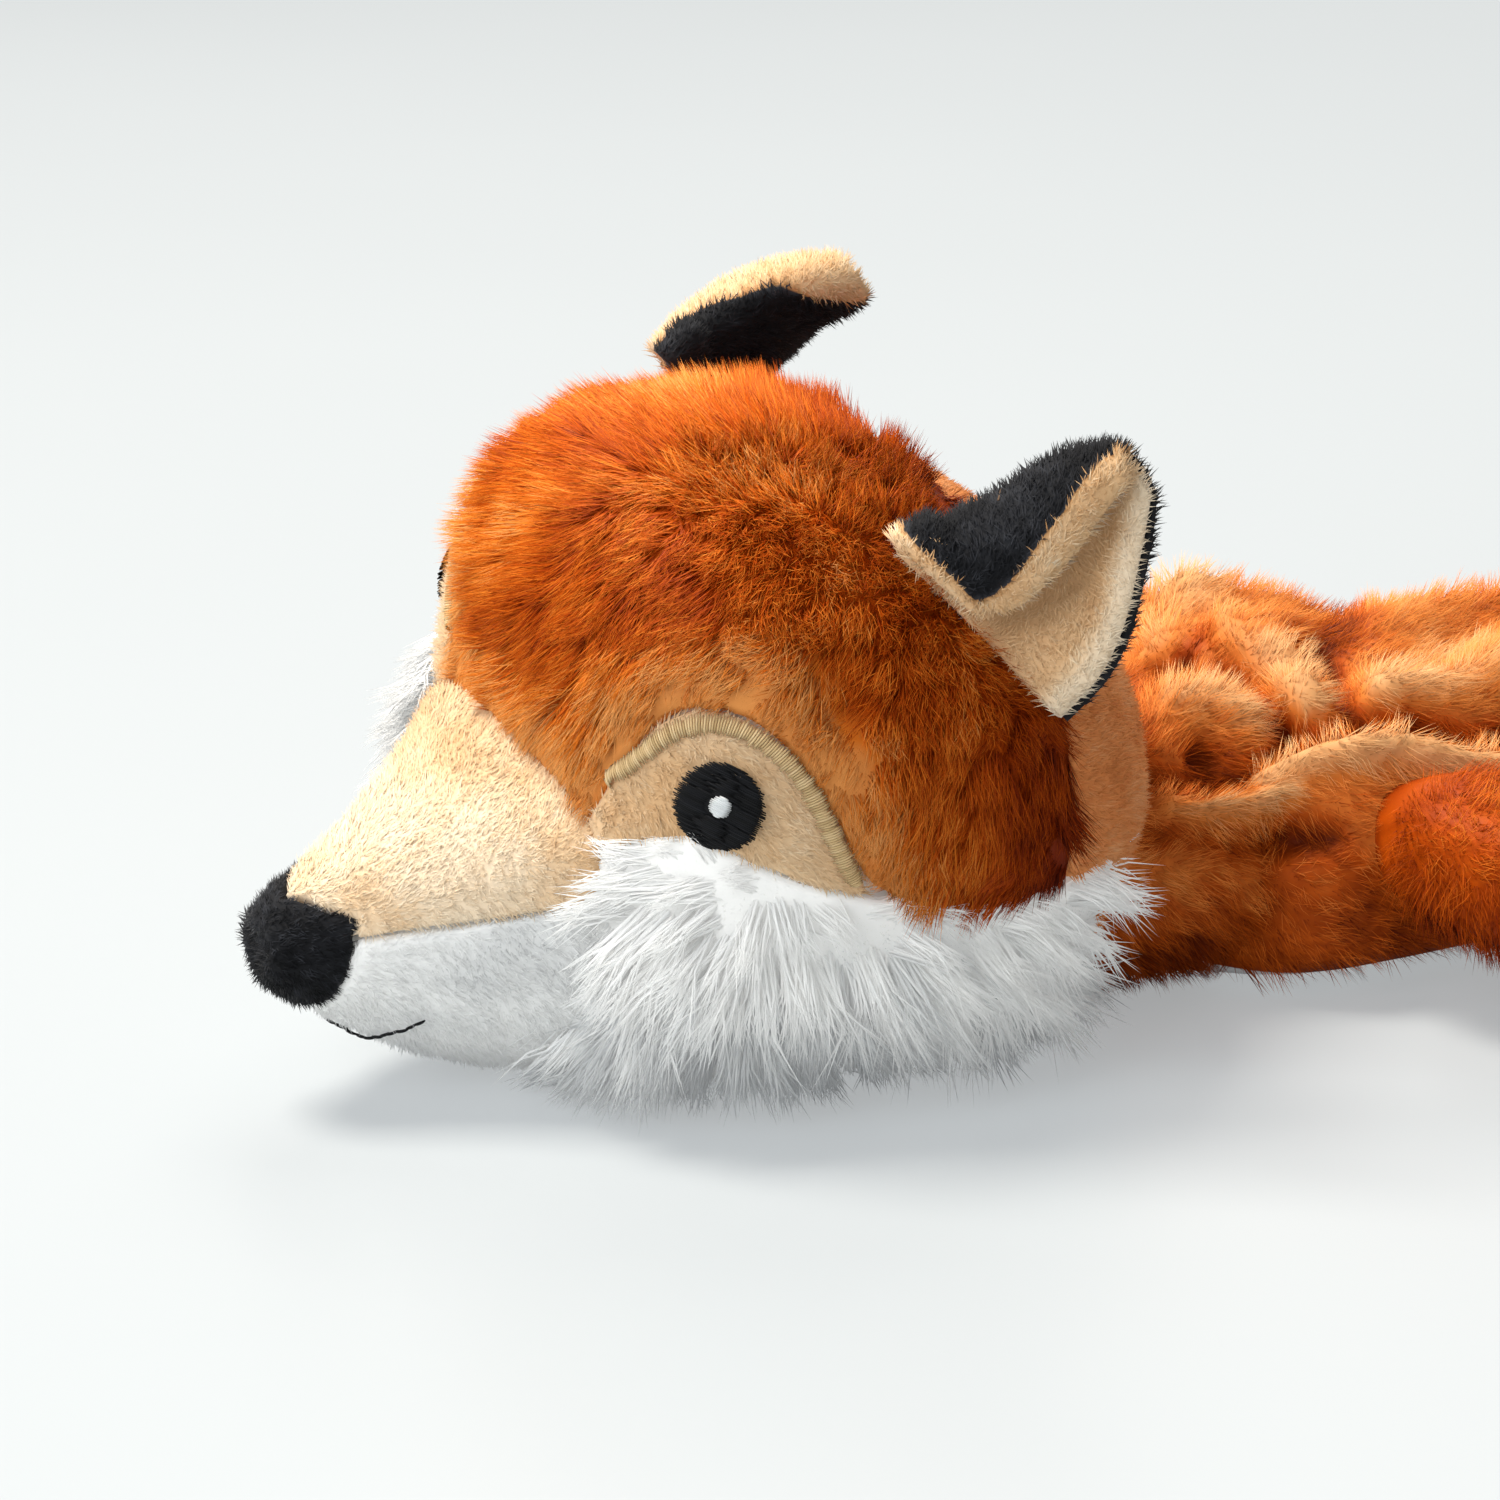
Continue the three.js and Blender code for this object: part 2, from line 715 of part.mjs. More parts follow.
// Ears. The middle of the cloth as shares of earHeight: along the base, up from it and outwards.
// The rows go up to the tip, and each runs from the rear rim over the fold to the front rim.
const earShapeShares = [
  [
    [1.16, 0, 0],
    [0.85, 0, -0.01],
    [0.45, 0, -0.02],
    [0.02, 0, 0],
    [0.2, 0.05, 0.12],
    [0.47, 0.08, 0.15],
  ],
  [
    [1.12, 0.24, 0.075],
    [0.83, 0.21, -0.03],
    [0.5, 0.21, -0.1],
    [0.11, 0.24, -0.02],
    [0.27, 0.23, 0.14],
    [0.55, 0.2, 0.19],
  ],
  [
    [1.03, 0.455, 0.09],
    [0.78, 0.425, -0.045],
    [0.52, 0.42, -0.11],
    [0.22, 0.45, -0.03],
    [0.36, 0.42, 0.15],
    [0.57, 0.38, 0.19],
  ],
  [
    [0.895, 0.67, 0.075],
    [0.71, 0.635, -0.03],
    [0.51, 0.64, -0.08],
    [0.27, 0.7, -0.02],
    [0.37, 0.65, 0.13],
    [0.56, 0.57, 0.17],
  ],
  [
    [0.76, 0.865, 0.045],
    [0.65, 0.865, -0.015],
    [0.52, 0.87, -0.05],
    [0.36, 0.9, -0.02],
    [0.4, 0.86, 0.085],
    [0.53, 0.79, 0.135],
  ],
  [
    [0.67, 0.98, 0.01],
    [0.61, 1, -0.01],
    [0.54, 1.02, -0.03],
    [0.46, 1.01, -0.01],
    [0.46, 0.98, 0.06],
    [0.53, 0.94, 0.1],
  ],
];
const earFrontGridShares = [12.1, 10.45];
const earRearGridShares = [13.8, 8.05];
const earUpShares = [0.09, 0.64, 0.76];

function earFrame() {
  const front = onHead(earFrontGridShares, crownPile);
  const along = onHead(earRearGridShares, crownPile).sub(front).normalize();
  const up = new THREE.Vector3(...earUpShares).addScaledVector(
    along,
    -new THREE.Vector3(...earUpShares).dot(along),
  );
  up.normalize();
  const crown = pointsOver(head.getObjectByName("crown").geometry).filter((point) => point.x > 0);
  const base = earHeight * earShapeShares[0][0][0];
  const root = earLayer + seamGap / 2 + hingeGap;
  const middle = earFrontGridShares.map((share, k) => (share + earRearGridShares[k]) / 2);
  const lift = liftClear(crown, front, along, outOfHead(middle), root, base);
  const origin = front.addScaledVector(outOfHead(middle), lift);
  return { origin, along, up, out: along.clone().cross(up) };
}
const earAt = earFrame();

// A finer grid through the places of the table.
function smoothGrid(table, columnsWanted, rowsWanted) {
  const point = (shares) => new THREE.Vector3(...shares);
  const wide = table.map((row) => new THREE.CatmullRomCurve3(row.map(point)).getPoints(columnsWanted));
  const tall = wide[0].map((_, k) => new THREE.CatmullRomCurve3(wide.map((row) => row[k])));
  const lengthwise = tall.map((curve) => curve.getPoints(rowsWanted));
  return lengthwise[0].map((_, row) => lengthwise.map((line) => line[row]));
}

// One layer of cloth between two heights over a grid of points.
function layer(grid, low, high) {
  const [lastRow, lastColumn] = [grid.length - 1, grid[0].length - 1];
  const at = (row, column, height) => {
    const across = grid[row][Math.min(column + 1, lastColumn)].clone();
    across.sub(grid[row][Math.max(column - 1, 0)]);
    const upward = grid[Math.min(row + 1, lastRow)][column].clone();
    upward.sub(grid[Math.max(row - 1, 0)][column]);
    const out = upward.cross(across);
    if (row === 0) out.y = 0; // the base stays level
    return grid[row][column].clone().addScaledVector(out.normalize(), height);
  };
  const triangles = [];
  for (let row = 0; row < lastRow; row++)
    for (let column = 0; column < lastColumn; column++) {
      const round = [
        [row, column],
        [row, column + 1],
        [row + 1, column + 1],
        [row + 1, column],
      ];
      triangles.push(...patch(...round.map(([r, c]) => at(r, c, high))));
      triangles.push(...backPatch(...round.map(([r, c]) => at(r, c, low))));
      const open = [row === 0, column === lastColumn - 1, row === lastRow - 1, column === 0];
      open.forEach((edge, k) => {
        if (!edge) return;
        const [p, q] = [round[k], round[(k + 1) % 4]];
        triangles.push(...patch(at(...p, low), at(...q, low), at(...q, high), at(...p, high)));
      });
    }
  return closedGeometry(triangles);
}

// Higher places are turned further about the base.
function earLayerOf(low, high, bendAngle) {
  const bent = (share) => share.clone().applyAxisAngle(acrossX, bendAngle * share.y);
  const grid = smoothGrid(earShapeShares, 10, 8).map((row) =>
    row.map((share) => bent(share).multiplyScalar(earHeight)),
  );
  const frame = new THREE.Matrix4().makeBasis(earAt.along, earAt.up, earAt.out);
  return layer(grid, low, high).applyMatrix4(frame.setPosition(earAt.origin));
}

for (const [name, geometry, finish] of [
  ["eye", onEye(plain(new THREE.LatheGeometry(eyeRing, 24))), black],
  ["eye_glint", onEye(plain(glint)), white],
  ["brow_stitch", stitchRow(browGridShares, browWidth, browHeight), gold],
  ["mouth_stitch", stitchRow(mouthGridShares, mouthWidth, mouthWidth), black],
])
  head.add(cloth(`left_${name}`, geometry, finish), cloth(`right_${name}`, mirrored(geometry), finish));

for (const [name, low, high, finish] of [
  ["ear_lining", seamGap / 2, seamGap / 2 + earLayer, tan],
  ["ear_back", -seamGap / 2 - earLayer, -seamGap / 2, black],
])
  head.add(
    cloth(`left_${name}`, earLayerOf(low, high, 0), finish),
    cloth(`right_${name}`, mirrored(earLayerOf(low, high, rightEarBend)), finish),
  );

head.rotation.y = headRoll;
head.position.z = headLift;
head.updateMatrixWorld(true);

// Neck: levels as shares of its height, and how wide it is there.
const neckLevelShares = [
  [0, 0.9],
  [0.08, 0.97],
  [0.3, 1],
  [0.55, 1],
  [0.75, 0.97],
  [0.9, 0.88],
  [1, 0.66],
];
const turnLine = -bodyLength / 2 - neckReach;
const nodLine = turnLine + neckSet;

function neckSleeve() {
  const steps = 8;
  // As tall as its round front end is over the line that it turns about.
  const halfHeight = Math.sqrt(neckRadius ** 2 - neckSet ** 2);
  return loft(
    neckLevelShares.map(([level, share]) => {
      const z = mix(neckRadius - halfHeight, neckRadius + halfHeight, level);
      const wide = neckHalfWidth * share;
      const rear = Array.from({ length: steps * 2 + 1 }, (_, k) => {
        const angle = (k / steps - 1) * (Math.PI / 2);
        return new THREE.Vector3(-wide * Math.sin(angle), turnLine + wide * Math.cos(angle), z);
      });
      const front = Array.from({ length: steps + 1 }, (_, k) => {
        const x = wide * ((2 * k) / steps - 1);
        const reach = neckRadius + x ** 2 / (2 * neckHollow);
        const ahead = Math.sqrt(Math.max(reach ** 2 - (z - neckRadius) ** 2, 0));
        return new THREE.Vector3(x, Math.min(nodLine - ahead, turnLine), z);
      });
      return [...rear, ...front];
    }),
  );
}

const nape = pointsOver(
  ...["back_of_head", "crown", "jaw"].map((name) => {
    const piece = head.getObjectByName(name);
    return piece.geometry.clone().applyMatrix4(piece.matrixWorld);
  }),
);
const backwards = new THREE.Vector3(0, 1, 0);
const nodStart = new THREE.Vector3(-neckHalfWidth, 0, neckRadius);
const nodReach = liftClear(nape, nodStart, acrossX, backwards, neckRadius + hingeGap, neckHalfWidth * 2);
head.position.y = nodLine - nodReach;
fox.add(head, cloth("neck", neckSleeve(), amber));

// Front body: place along it, half width, height.
const bodyShares = [
  [-0.5, 0.78, 0.8],
  [-0.46, 0.9, 0.93],
  [-0.4, 0.98, 1.06],
  [-0.29, 1, 1.12],
  [-0.13, 1, 1.03],
  [0.05, 0.98, 0.92],
  [0.25, 0.98, 0.89],
  [0.41, 0.95, 0.86],
  [0.47, 0.91, 0.84],
  [0.5, 0.84, 0.8],
];
// Hind body: place behind its hinge line as a share of its length, half width, height over the line.
const rumpShares = [
  [0.24, 0.95, 1],
  [0.42, 1, 1.1],
  [0.65, 1, 1.1],
  [0.86, 0.97, 0.98],
  [0.95, 0.88, 0.85],
  [1, 0.76, 0.72],
];

function folds(across, y) {
  const wander = Math.sin(y / foldWave);
  const valley = (1 - Math.cos(Math.PI * (foldCount * (across + 1) + wander))) / 2;
  return foldDepth * valley * (1 - across ** 2) + bodyLean * across;
}

const waistLine = bodyLength / 2 + hingeGap + waistRadius;
const rumpEnd = waistLine + rumpLength;
const bodyForm = softTube(
  bodyShares.map(([place, wide, high]) => ({
    y: place * bodyLength,
    wide: wide * bodyHalfWidth,
    z: bodySeamHeight * 2,
    up: high * bodyHeight - bodySeamHeight * 2,
    down: bodySeamHeight * 2 + floorCut,
  })),
  { sides: 28, boxy: 0.7, relief: folds, lowest: 0 },
);
const rumpForm = softTube(
  [
    ...roundEnd(waistRadius, rumpHalfWidth * rumpShares[0][1]),
    ...rumpShares.map(([place, wide, high]) => ({
      y: place * rumpLength,
      wide: wide * rumpHalfWidth,
      up: high * waistRadius,
      down: waistRadius + floorCut,
    })),
  ],
  {
    sides: 24,
    boxy: 0.7,
    lowest: -waistRadius,
    relief: (across, y) => (y < 0 ? 0 : folds(across, y) * clamp(y / rumpLength, 0, 1)),
  },
).translate(0, waistLine, waistRadius);

// Cuts a body form at the side seam, with a pocket for the squeaker in the upper half.
function halves(form, squeaker, middle, ...cutters) {
  const slab = new THREE.BoxGeometry(rumpHalfWidth * 3, (bodyLength + rumpLength) * 2, bodyHeight * 2);
  const below = slab.clone().translate(0, middle, bodySeamHeight + seamGap / 2 - bodyHeight);
  const above = slab.clone().translate(0, middle, bodySeamHeight - seamGap / 2 + bodyHeight);
  const radius = squeaker.radius + restGap;
  const pocket = new THREE.CylinderGeometry(radius, radius, (squeaker.height + restGap) * 2, 24);
  pocket.rotateX(Math.PI / 2).translate(0, squeaker.place + middle, bodySeamHeight + seamGap);
  return [cutAway(form, below, pocket, ...cutters), cutAway(form, above, ...cutters)];
}

const socketRadius = neckHalfWidth + hingeGap;
const socket = new THREE.CylinderGeometry(socketRadius, socketRadius, bodyHeight * 3, 48);
socket.rotateX(Math.PI / 2).translate(0, turnLine, 0);
const [pelt, belly] = halves(bodyForm, bodySqueaker, 0, socket);
const [rumpPelt, rumpBelly] = halves(rumpForm, rumpSqueaker, waistLine);
fox.add(cloth("body_pelt", pelt, amber), cloth("body_belly", belly, white));
fox.add(cloth("rump_pelt", rumpPelt, amber), cloth("rump_belly", rumpBelly, white));
for (const [name, squeaker, middle] of [
  ["body", bodySqueaker, 0],
  ["rump", rumpSqueaker, waistLine],
]) {
  const place = [0, squeaker.place + middle, bodySeamHeight + seamGap];
  const bulb = squeakerBulb(squeaker).rotateX(Math.PI / 2);
  const reed = squeakerReed(squeaker).rotateX(Math.PI / 2);
  fox.add(cloth(`${name}_squeaker_bulb`, bulb.translate(...place), plastic));
  fox.add(cloth(`${name}_squeaker_reed`, reed.translate(...place), reedPlastic));
}

// Legs: place from the hinge line as a share of the length, half width, thickness.
const legShares = [
  [0.5, 0.98, 1],
  [0.96, 0.92, 0.94],
  [1, 0.86, 0.86],
];
const pawShares = [
  [0, 0.84, 0.84],
  [0.12, 0.92, 0.95],
  [0.45, 0.98, 1],
  [0.75, 0.84, 0.84],
  [0.93, 0.52, 0.5],
  [1, 0.2, 0.18],
];

for (const [end, leg, forms, base] of [
  ["fore", foreLeg, [pelt, belly], 0],
  ["hind", hindLeg, [rumpPelt, rumpBelly], waistLine],
]) {
  const station = (from, length) => ([place, wide, thick]) => ({
    y: from + place * length,
    wide: wide * legHalfWidth,
    up: thick * legRadius,
  });
  const sheared = (stations) => stations.map((s) => ({ ...s, x: -s.y * Math.tan(leg.turn) }));
  const legTube = softTube(
    sheared([...roundEnd(legRadius, legHalfWidth), ...legShares.map(station(0, legLength))]),
    { sides: 20, boxy: 0.8 },
  );
  const pawTube = softTube(sheared(pawShares.map(station(legLength + seamGap, pawLength))), {
    sides: 20,
    boxy: 0.8,
  });
  const start = new THREE.Vector3(0, base + leg.place - legHalfWidth, leg.height);
  const outwards = new THREE.Vector3(1, 0, 0);
  const room = legRadius + hingeGap;
  const reach = liftClear(pointsOver(...forms), start, backwards, outwards, room, legHalfWidth * 2);
  for (const [part, tube, finish] of [
    ["leg", legTube, rust],
    ["paw", pawTube, black],
  ]) {
    tube.rotateX(-legSlope).rotateZ(-Math.PI / 2).translate(reach, base + leg.place, leg.height);
    fox.add(cloth(`left_${end}_${part}`, tube, finish));
    fox.add(cloth(`right_${end}_${part}`, mirrored(tube), finish));
  }
}

// Tail: place behind its hinge line, half width, thickness.
const tailShares = [
  [0.2, 0.66, 1.04],
  [0.42, 0.84, 1.13],
  [0.7, 1, 1.14],
  [0.9, 0.97, 1.08],
  [1, 0.9, 0.98],
];
const tailTipShares = [
  [0.3, 0.86, 0.98],
  [0.55, 0.72, 0.88],
  [0.78, 0.5, 0.66],
  [0.93, 0.26, 0.38],
  [1, 0.1, 0.16],
];
const tailLine = rumpEnd + hingeGap + tailRadius;
const tailTipLine = tailLine + tailLength + hingeGap + tailTipRadius;
for (const [name, shares, line, length, radius, root, finish] of [
  ["tail", tailShares, tailLine, tailLength, tailRadius, tailHalfWidth / 2, amber],
  ["tail_tip", tailTipShares, tailTipLine, tailTipLength, tailTipRadius, tailHalfWidth * 0.88, white],
]) {
  const stations = shares.map(([place, wide, thick]) => ({
    y: place * length,
    wide: wide * tailHalfWidth,
    up: thick * radius,
  }));
  const shape = { sides: 20, boxy: 0.85, lowest: -tailLift };
  const form = softTube([...roundEnd(radius, root), ...stations], shape);
  fox.add(cloth(name, form.translate(0, line, tailLift), finish));
}

export default fox;
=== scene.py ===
# A plush fox on a pale floor: soft skins and their pile over the fixed frame, in metres.
import json
import math

import bmesh
import bpy
import numpy as np
from mathutils import Matrix, Vector, noise
from mathutils.bvhtree import BVHTree

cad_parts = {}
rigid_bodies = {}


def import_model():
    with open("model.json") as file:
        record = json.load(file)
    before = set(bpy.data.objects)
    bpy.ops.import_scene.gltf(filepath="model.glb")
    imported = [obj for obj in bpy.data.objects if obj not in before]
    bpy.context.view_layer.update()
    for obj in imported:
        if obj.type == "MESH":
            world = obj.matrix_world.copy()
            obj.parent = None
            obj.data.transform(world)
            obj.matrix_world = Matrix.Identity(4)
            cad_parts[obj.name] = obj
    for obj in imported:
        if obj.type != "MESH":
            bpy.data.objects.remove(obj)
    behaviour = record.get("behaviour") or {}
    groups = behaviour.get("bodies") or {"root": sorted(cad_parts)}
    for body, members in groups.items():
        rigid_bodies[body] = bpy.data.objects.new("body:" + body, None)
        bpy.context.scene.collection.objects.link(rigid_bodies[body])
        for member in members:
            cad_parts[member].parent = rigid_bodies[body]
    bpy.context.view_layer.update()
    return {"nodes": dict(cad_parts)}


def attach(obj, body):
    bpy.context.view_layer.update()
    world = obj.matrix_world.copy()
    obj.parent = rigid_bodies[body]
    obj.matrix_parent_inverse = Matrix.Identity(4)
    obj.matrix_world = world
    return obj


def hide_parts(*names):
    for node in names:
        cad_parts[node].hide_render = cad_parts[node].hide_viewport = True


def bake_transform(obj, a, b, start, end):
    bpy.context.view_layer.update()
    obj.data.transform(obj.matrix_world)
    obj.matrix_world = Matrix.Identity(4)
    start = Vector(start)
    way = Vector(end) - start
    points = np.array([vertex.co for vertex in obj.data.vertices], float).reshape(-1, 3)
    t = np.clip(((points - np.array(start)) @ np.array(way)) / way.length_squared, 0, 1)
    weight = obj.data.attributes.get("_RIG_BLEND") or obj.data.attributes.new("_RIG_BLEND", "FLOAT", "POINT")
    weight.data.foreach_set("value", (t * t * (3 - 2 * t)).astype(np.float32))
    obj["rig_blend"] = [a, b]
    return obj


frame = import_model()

scene = bpy.context.scene
mm = 0.001
sides = {"left": 1, "right": -1}
noise.seed_set(1795884719)  # else the vector noise differs from run to run


# Camera, as the photograph was taken: on the fox's left front, a little above its head
cameraSettings = {
    "azimuth": 60,  # degrees from the front towards the left side
    "elevation": 17,
    "distance": 650 * mm,
    "target": (0, -119.3 * mm, 43 * mm),  # the middle of the head
    "aside": -7.98 * mm,  # moved sideways and down, so that no lens shift is needed
    "lower": -1.9 * mm,
    "lens": 107.6,
    "sensor": 36,
    "imageSize": 1500,
}


class View:
    # The camera's axes and place, and its focal length in pixels
    def __init__(self, s):
        a, e = math.radians(s["azimuth"]), math.radians(s["elevation"])
        self.back = Vector((math.sin(a) * math.cos(e), -math.cos(a) * math.cos(e), math.sin(e)))
        self.right = Vector((math.cos(a), math.sin(a), 0))
        self.up = self.back.cross(self.right)
        start = Vector(s["target"]) + self.back * s["distance"]
        self.place = start + self.right * s["aside"] + self.up * s["lower"]
        self.focal = s["lens"] / s["sensor"] * s["imageSize"]
        self.middle = s["imageSize"] / 2


view = View(cameraSettings)


def makeCamera(s):
    camera = bpy.data.objects.new("camera", bpy.data.cameras.new("camera"))
    scene.collection.objects.link(camera)
    camera.data.lens = s["lens"]
    camera.data.sensor_width = s["sensor"]
    camera.data.clip_start = 0.02
    camera.data.clip_end = 50
    camera.location = view.place
    camera.rotation_euler = (math.radians(90 - s["elevation"]), 0, math.radians(s["azimuth"]))
    scene.camera = camera


makeCamera(cameraSettings)
scene.view_settings.view_transform = "Standard"


# Maths and nodes
class Signal:
    # An output of a node
    def __init__(self, graph, output):
        self.graph, self.output = graph, output

    def maths(self, operation, first, second):
        return self.graph.node("ShaderNodeMath", {0: first, 1: second}, operation=operation)

    def __add__(self, other):
        return self.maths("ADD", self, other)

    def __sub__(self, other):
        return self.maths("SUBTRACT", self, other)

    def __rsub__(self, other):
        return self.maths("SUBTRACT", other, self)

    def __mul__(self, other):
        return self.maths("MULTIPLY", self, other)

    def __truediv__(self, other):
        return self.maths("DIVIDE", self, other)

    __radd__, __rmul__ = __add__, __mul__

    def other(self, name):
        return Signal(self.graph, self.output.node.outputs[name])


class Graph:
    def __init__(self, tree):
        self.tree = tree

    def node(self, kind, values=None, output=0, stops=None, **settings):
        made = self.tree.nodes.new(kind)
        for name, value in settings.items():
            setattr(made, name, value)
        if stops:
            elements = made.color_ramp.elements
            while len(elements) < len(stops):
                elements.new(0.5)
            for element, (place, tone) in zip(elements, stops):
                element.position, element.color = place, tone
        for name, value in (values or {}).items():
            if isinstance(value, Signal):
                self.tree.links.new(value.output, made.inputs[name])
            else:
                made.inputs[name].default_value = value
        return Signal(self, made.outputs[output]) if made.outputs else None

    def vector(self, operation, first, second):
        # Vector maths; a vector is scaled by a number
        slot = "Scale" if operation == "SCALE" else 1
        return self.node("ShaderNodeVectorMath", {0: first, slot: second}, operation=operation)

    def length(self, vector):
        return self.node("ShaderNodeVectorMath", {0: vector}, operation="LENGTH", output="Value")

    def combine(self, x, y, z=0):
        return self.node("ShaderNodeCombineXYZ", {0: x, 1: y, 2: z})

    def separate(self, vector):
        return self.node("ShaderNodeSeparateXYZ", {0: vector})


def colour(hexCode):
    # An sRGB colour as linear light
    parts = [int(hexCode[i : i + 2], 16) / 255 for i in (0, 2, 4)]
    return (*(c / 12.92 if c <= 0.04045 else ((c + 0.055) / 1.055) ** 2.4 for c in parts), 1)


def colours(stops):
    return [(place, colour(code)) for place, code in stops.items()]


def greys(stops):
    return [(place, (level, level, level, 1)) for place, level in stops.items()]


def newMaterial(name):
    material = bpy.data.materials.new(name)
    material.use_nodes = True
    material.node_tree.nodes.clear()
    return material, Graph(material.node_tree)


def pileMaterial(name, tints, depthShades, roughness=0.6, sheen=0, shine=0.2, glow=0.15, scatter=0):
    # Tint runs across the map of a pile, and root to tip runs up it, darker towards the root as painted
    # shade. Glow is the light that comes through the strands. Scatter is painted light: emission in the
    # pile's own colour, which stands in for the light that goes from one strand to the next.
    material, graph = newMaterial(name)
    tint = graph.separate(graph.node("ShaderNodeUVMap", uv_map="OFBake"))
    hue = graph.node("ShaderNodeValToRGB", {0: tint}, stops=tints)
    depth = graph.node("ShaderNodeValToRGB", {0: tint.other("Y")}, stops=depthShades)
    values = {"Factor": 1.0, 6: hue, 7: depth}
    mixed = graph.node("ShaderNodeMix", values, output=2, data_type="RGBA", blend_type="MULTIPLY")
    values = {
        "Base Color": mixed, "Roughness": roughness, "Sheen Weight": sheen, "Sheen Roughness": 0.4,
        "Specular IOR Level": shine, "Emission Color": mixed, "Emission Strength": scatter,
    }
    cloth = graph.node("ShaderNodeBsdfPrincipled", values)
    through = graph.node("ShaderNodeBsdfTranslucent", {"Color": mixed})
    both = graph.node("ShaderNodeMixShader", {0: glow, 1: cloth, 2: through})
    graph.node("ShaderNodeOutputMaterial", {"Surface": both})
    return material


# Root-to-tip ramps are painted shade: a pile darker towards its roots, a thread darker towards its ends
plainRootShade = greys({0: 0.5, 0.5: 0.85, 1: 1})
paleRootShade = greys({0: 0.85, 0.5: 0.97, 1: 1})
deepRootShade = [(0, (0.5, 0.36, 0.25, 1)), (0.45, (0.9, 0.8, 0.7, 1)), (1, (1, 1, 1, 1))]
threadEndShade = greys({0: 0.55, 0.25: 0.95, 0.5: 1, 0.75: 0.95, 1: 0.55})
tanTints = colours({0: "cf9d68", 0.4: "eac292", 0.7: "f6d8b0", 1: "fdebcf"})
blackTints = colours({0: "0b0c0e", 0.5: "1a1b1f", 1: "3d3f45"})
rustTints = colours({0: "551402", 0.25: "9c3806", 0.6: "d86412", 0.85: "fc9836", 1: "ffbc72"})
amberTints = colours({0: "6a2405", 0.3: "d8691c", 0.6: "ffa653", 1: "ffd29c"})
salmonTints = colours({0: "cb7034", 0.5: "f09c5c", 1: "fcc08a"})
whiteTints = colours({0: "c9cbcc", 0.5: "eff0ef", 1: "fdfdfb"})
# Black in the lower half of the ears' tints, tan in the upper half
earTints = [(t * 0.46, c) for t, c in blackTints] + [(0.54 + t * 0.46, c) for t, c in tanTints]
goldTints = colours({0: "a3875a", 0.5: "cdb081", 1: "e8d0a4"})
inkTints = colours({0: "050607", 0.5: "0b0c0f", 1: "1a1c21"})
glintTints = colours({0: "cfd4d6", 0.5: "e6eaeb", 1: "f7f9f9"})
# Scatter below is painted light: each pile gives off emission in its own colour
rustPile = pileMaterial("rust_pile", rustTints, deepRootShade, roughness=0.45, shine=0.08, scatter=0.06)
amberPile = pileMaterial("amber_pile", amberTints, deepRootShade, roughness=0.5, shine=0.08, scatter=0.1)
tanPile = pileMaterial("tan_pile", tanTints, paleRootShade, sheen=0.4, scatter=0.09)
salmonPile = pileMaterial("salmon_pile", salmonTints, paleRootShade, shine=0.1, scatter=0.08)
whitePile = pileMaterial(
    "white_pile", whiteTints, paleRootShade, roughness=0.5, sheen=0.5, glow=0.2, scatter=0.24
)
blackPile = pileMaterial("black_pile", blackTints, plainRootShade, roughness=0.8, sheen=0.15)
earPile = pileMaterial("ear_pile", earTints, paleRootShade, roughness=0.75, sheen=0.1, scatter=0.07)
goldThread = pileMaterial("gold_thread", goldTints, threadEndShade, roughness=0.5, shine=0.25, glow=0.05)
blackThread = pileMaterial("black_thread", inkTints, threadEndShade, glow=0)
whiteThread = pileMaterial(
    "white_thread", glintTints, threadEndShade, roughness=0.4, sheen=0.3, shine=0.5, glow=0.1
)


def innerMaterial(name, low, high, size, roughness, bump):
    # For what lies inside
    material, graph = newMaterial(name)
    place = graph.node("ShaderNodeTexCoord", output="Object")
    cloud = graph.node("ShaderNodeTexNoise", {"Vector": place, "Scale": 1 / (size * mm), "Detail": 4.0})
    tone = graph.node("ShaderNodeValToRGB", {0: cloud}, stops=colours({0.3: low, 0.7: high}))
    relief = graph.node("ShaderNodeBump", {"Strength": bump, "Distance": 0.4 * mm, "Height": cloud})
    values = {"Base Color": tone, "Roughness": roughness, "Normal": relief}
    shader = graph.node("ShaderNodeBsdfPrincipled", values)
    graph.node("ShaderNodeOutputMaterial", {"Surface": shader})
    return material


stuffingFibre = innerMaterial("stuffing_fibre", "dcdcdb", "f7f7f6", 3, 0.95, 0.8)
squeakerVinyl = innerMaterial("squeaker_vinyl", "d8d2c0", "e4dfd0", 9, 0.35, 0.1)
reedPlastic = innerMaterial("reed_plastic", "c4ccd4", "d2d9df", 6, 0.3, 0.05)


# Helpers for meshes
def pointsOf(mesh):
    found = np.empty(len(mesh.vertices) * 3)
    mesh.vertices.foreach_get("co", found)
    return found.reshape(-1, 3)


def normalsOf(mesh):
    found = np.empty(len(mesh.vertices) * 3)
    mesh.vertex_normals.foreach_get("vector", found)
    return found.reshape(-1, 3)


def movePoints(mesh, points):
    mesh.vertices.foreach_set("co", points.ravel())
    mesh.update()


def unit(vectors):
    return vectors / np.maximum(np.linalg.norm(vectors, axis=-1, keepdims=True), 1e-9)


def alongCloth(directions, normals):
    # Directions without their share off the cloth
    return directions - normals * np.sum(directions * normals, 1, keepdims=True)


def addObject(name, mesh):
    made = bpy.data.objects.new(name, mesh)
    scene.collection.objects.link(made)
    return made


def smoothMesh(name, vertices, faces):
    mesh = bpy.data.meshes.new(name)
    mesh.from_pydata([tuple(p) for p in vertices], [], faces)
    mesh.polygons.foreach_set("use_smooth", [True] * len(mesh.polygons))
    return mesh


def faceOutwards(mesh):
    shape = bmesh.new()
    shape.from_mesh(mesh)
    bmesh.ops.recalc_face_normals(shape, faces=shape.faces)
    shape.to_mesh(mesh)
    shape.free()


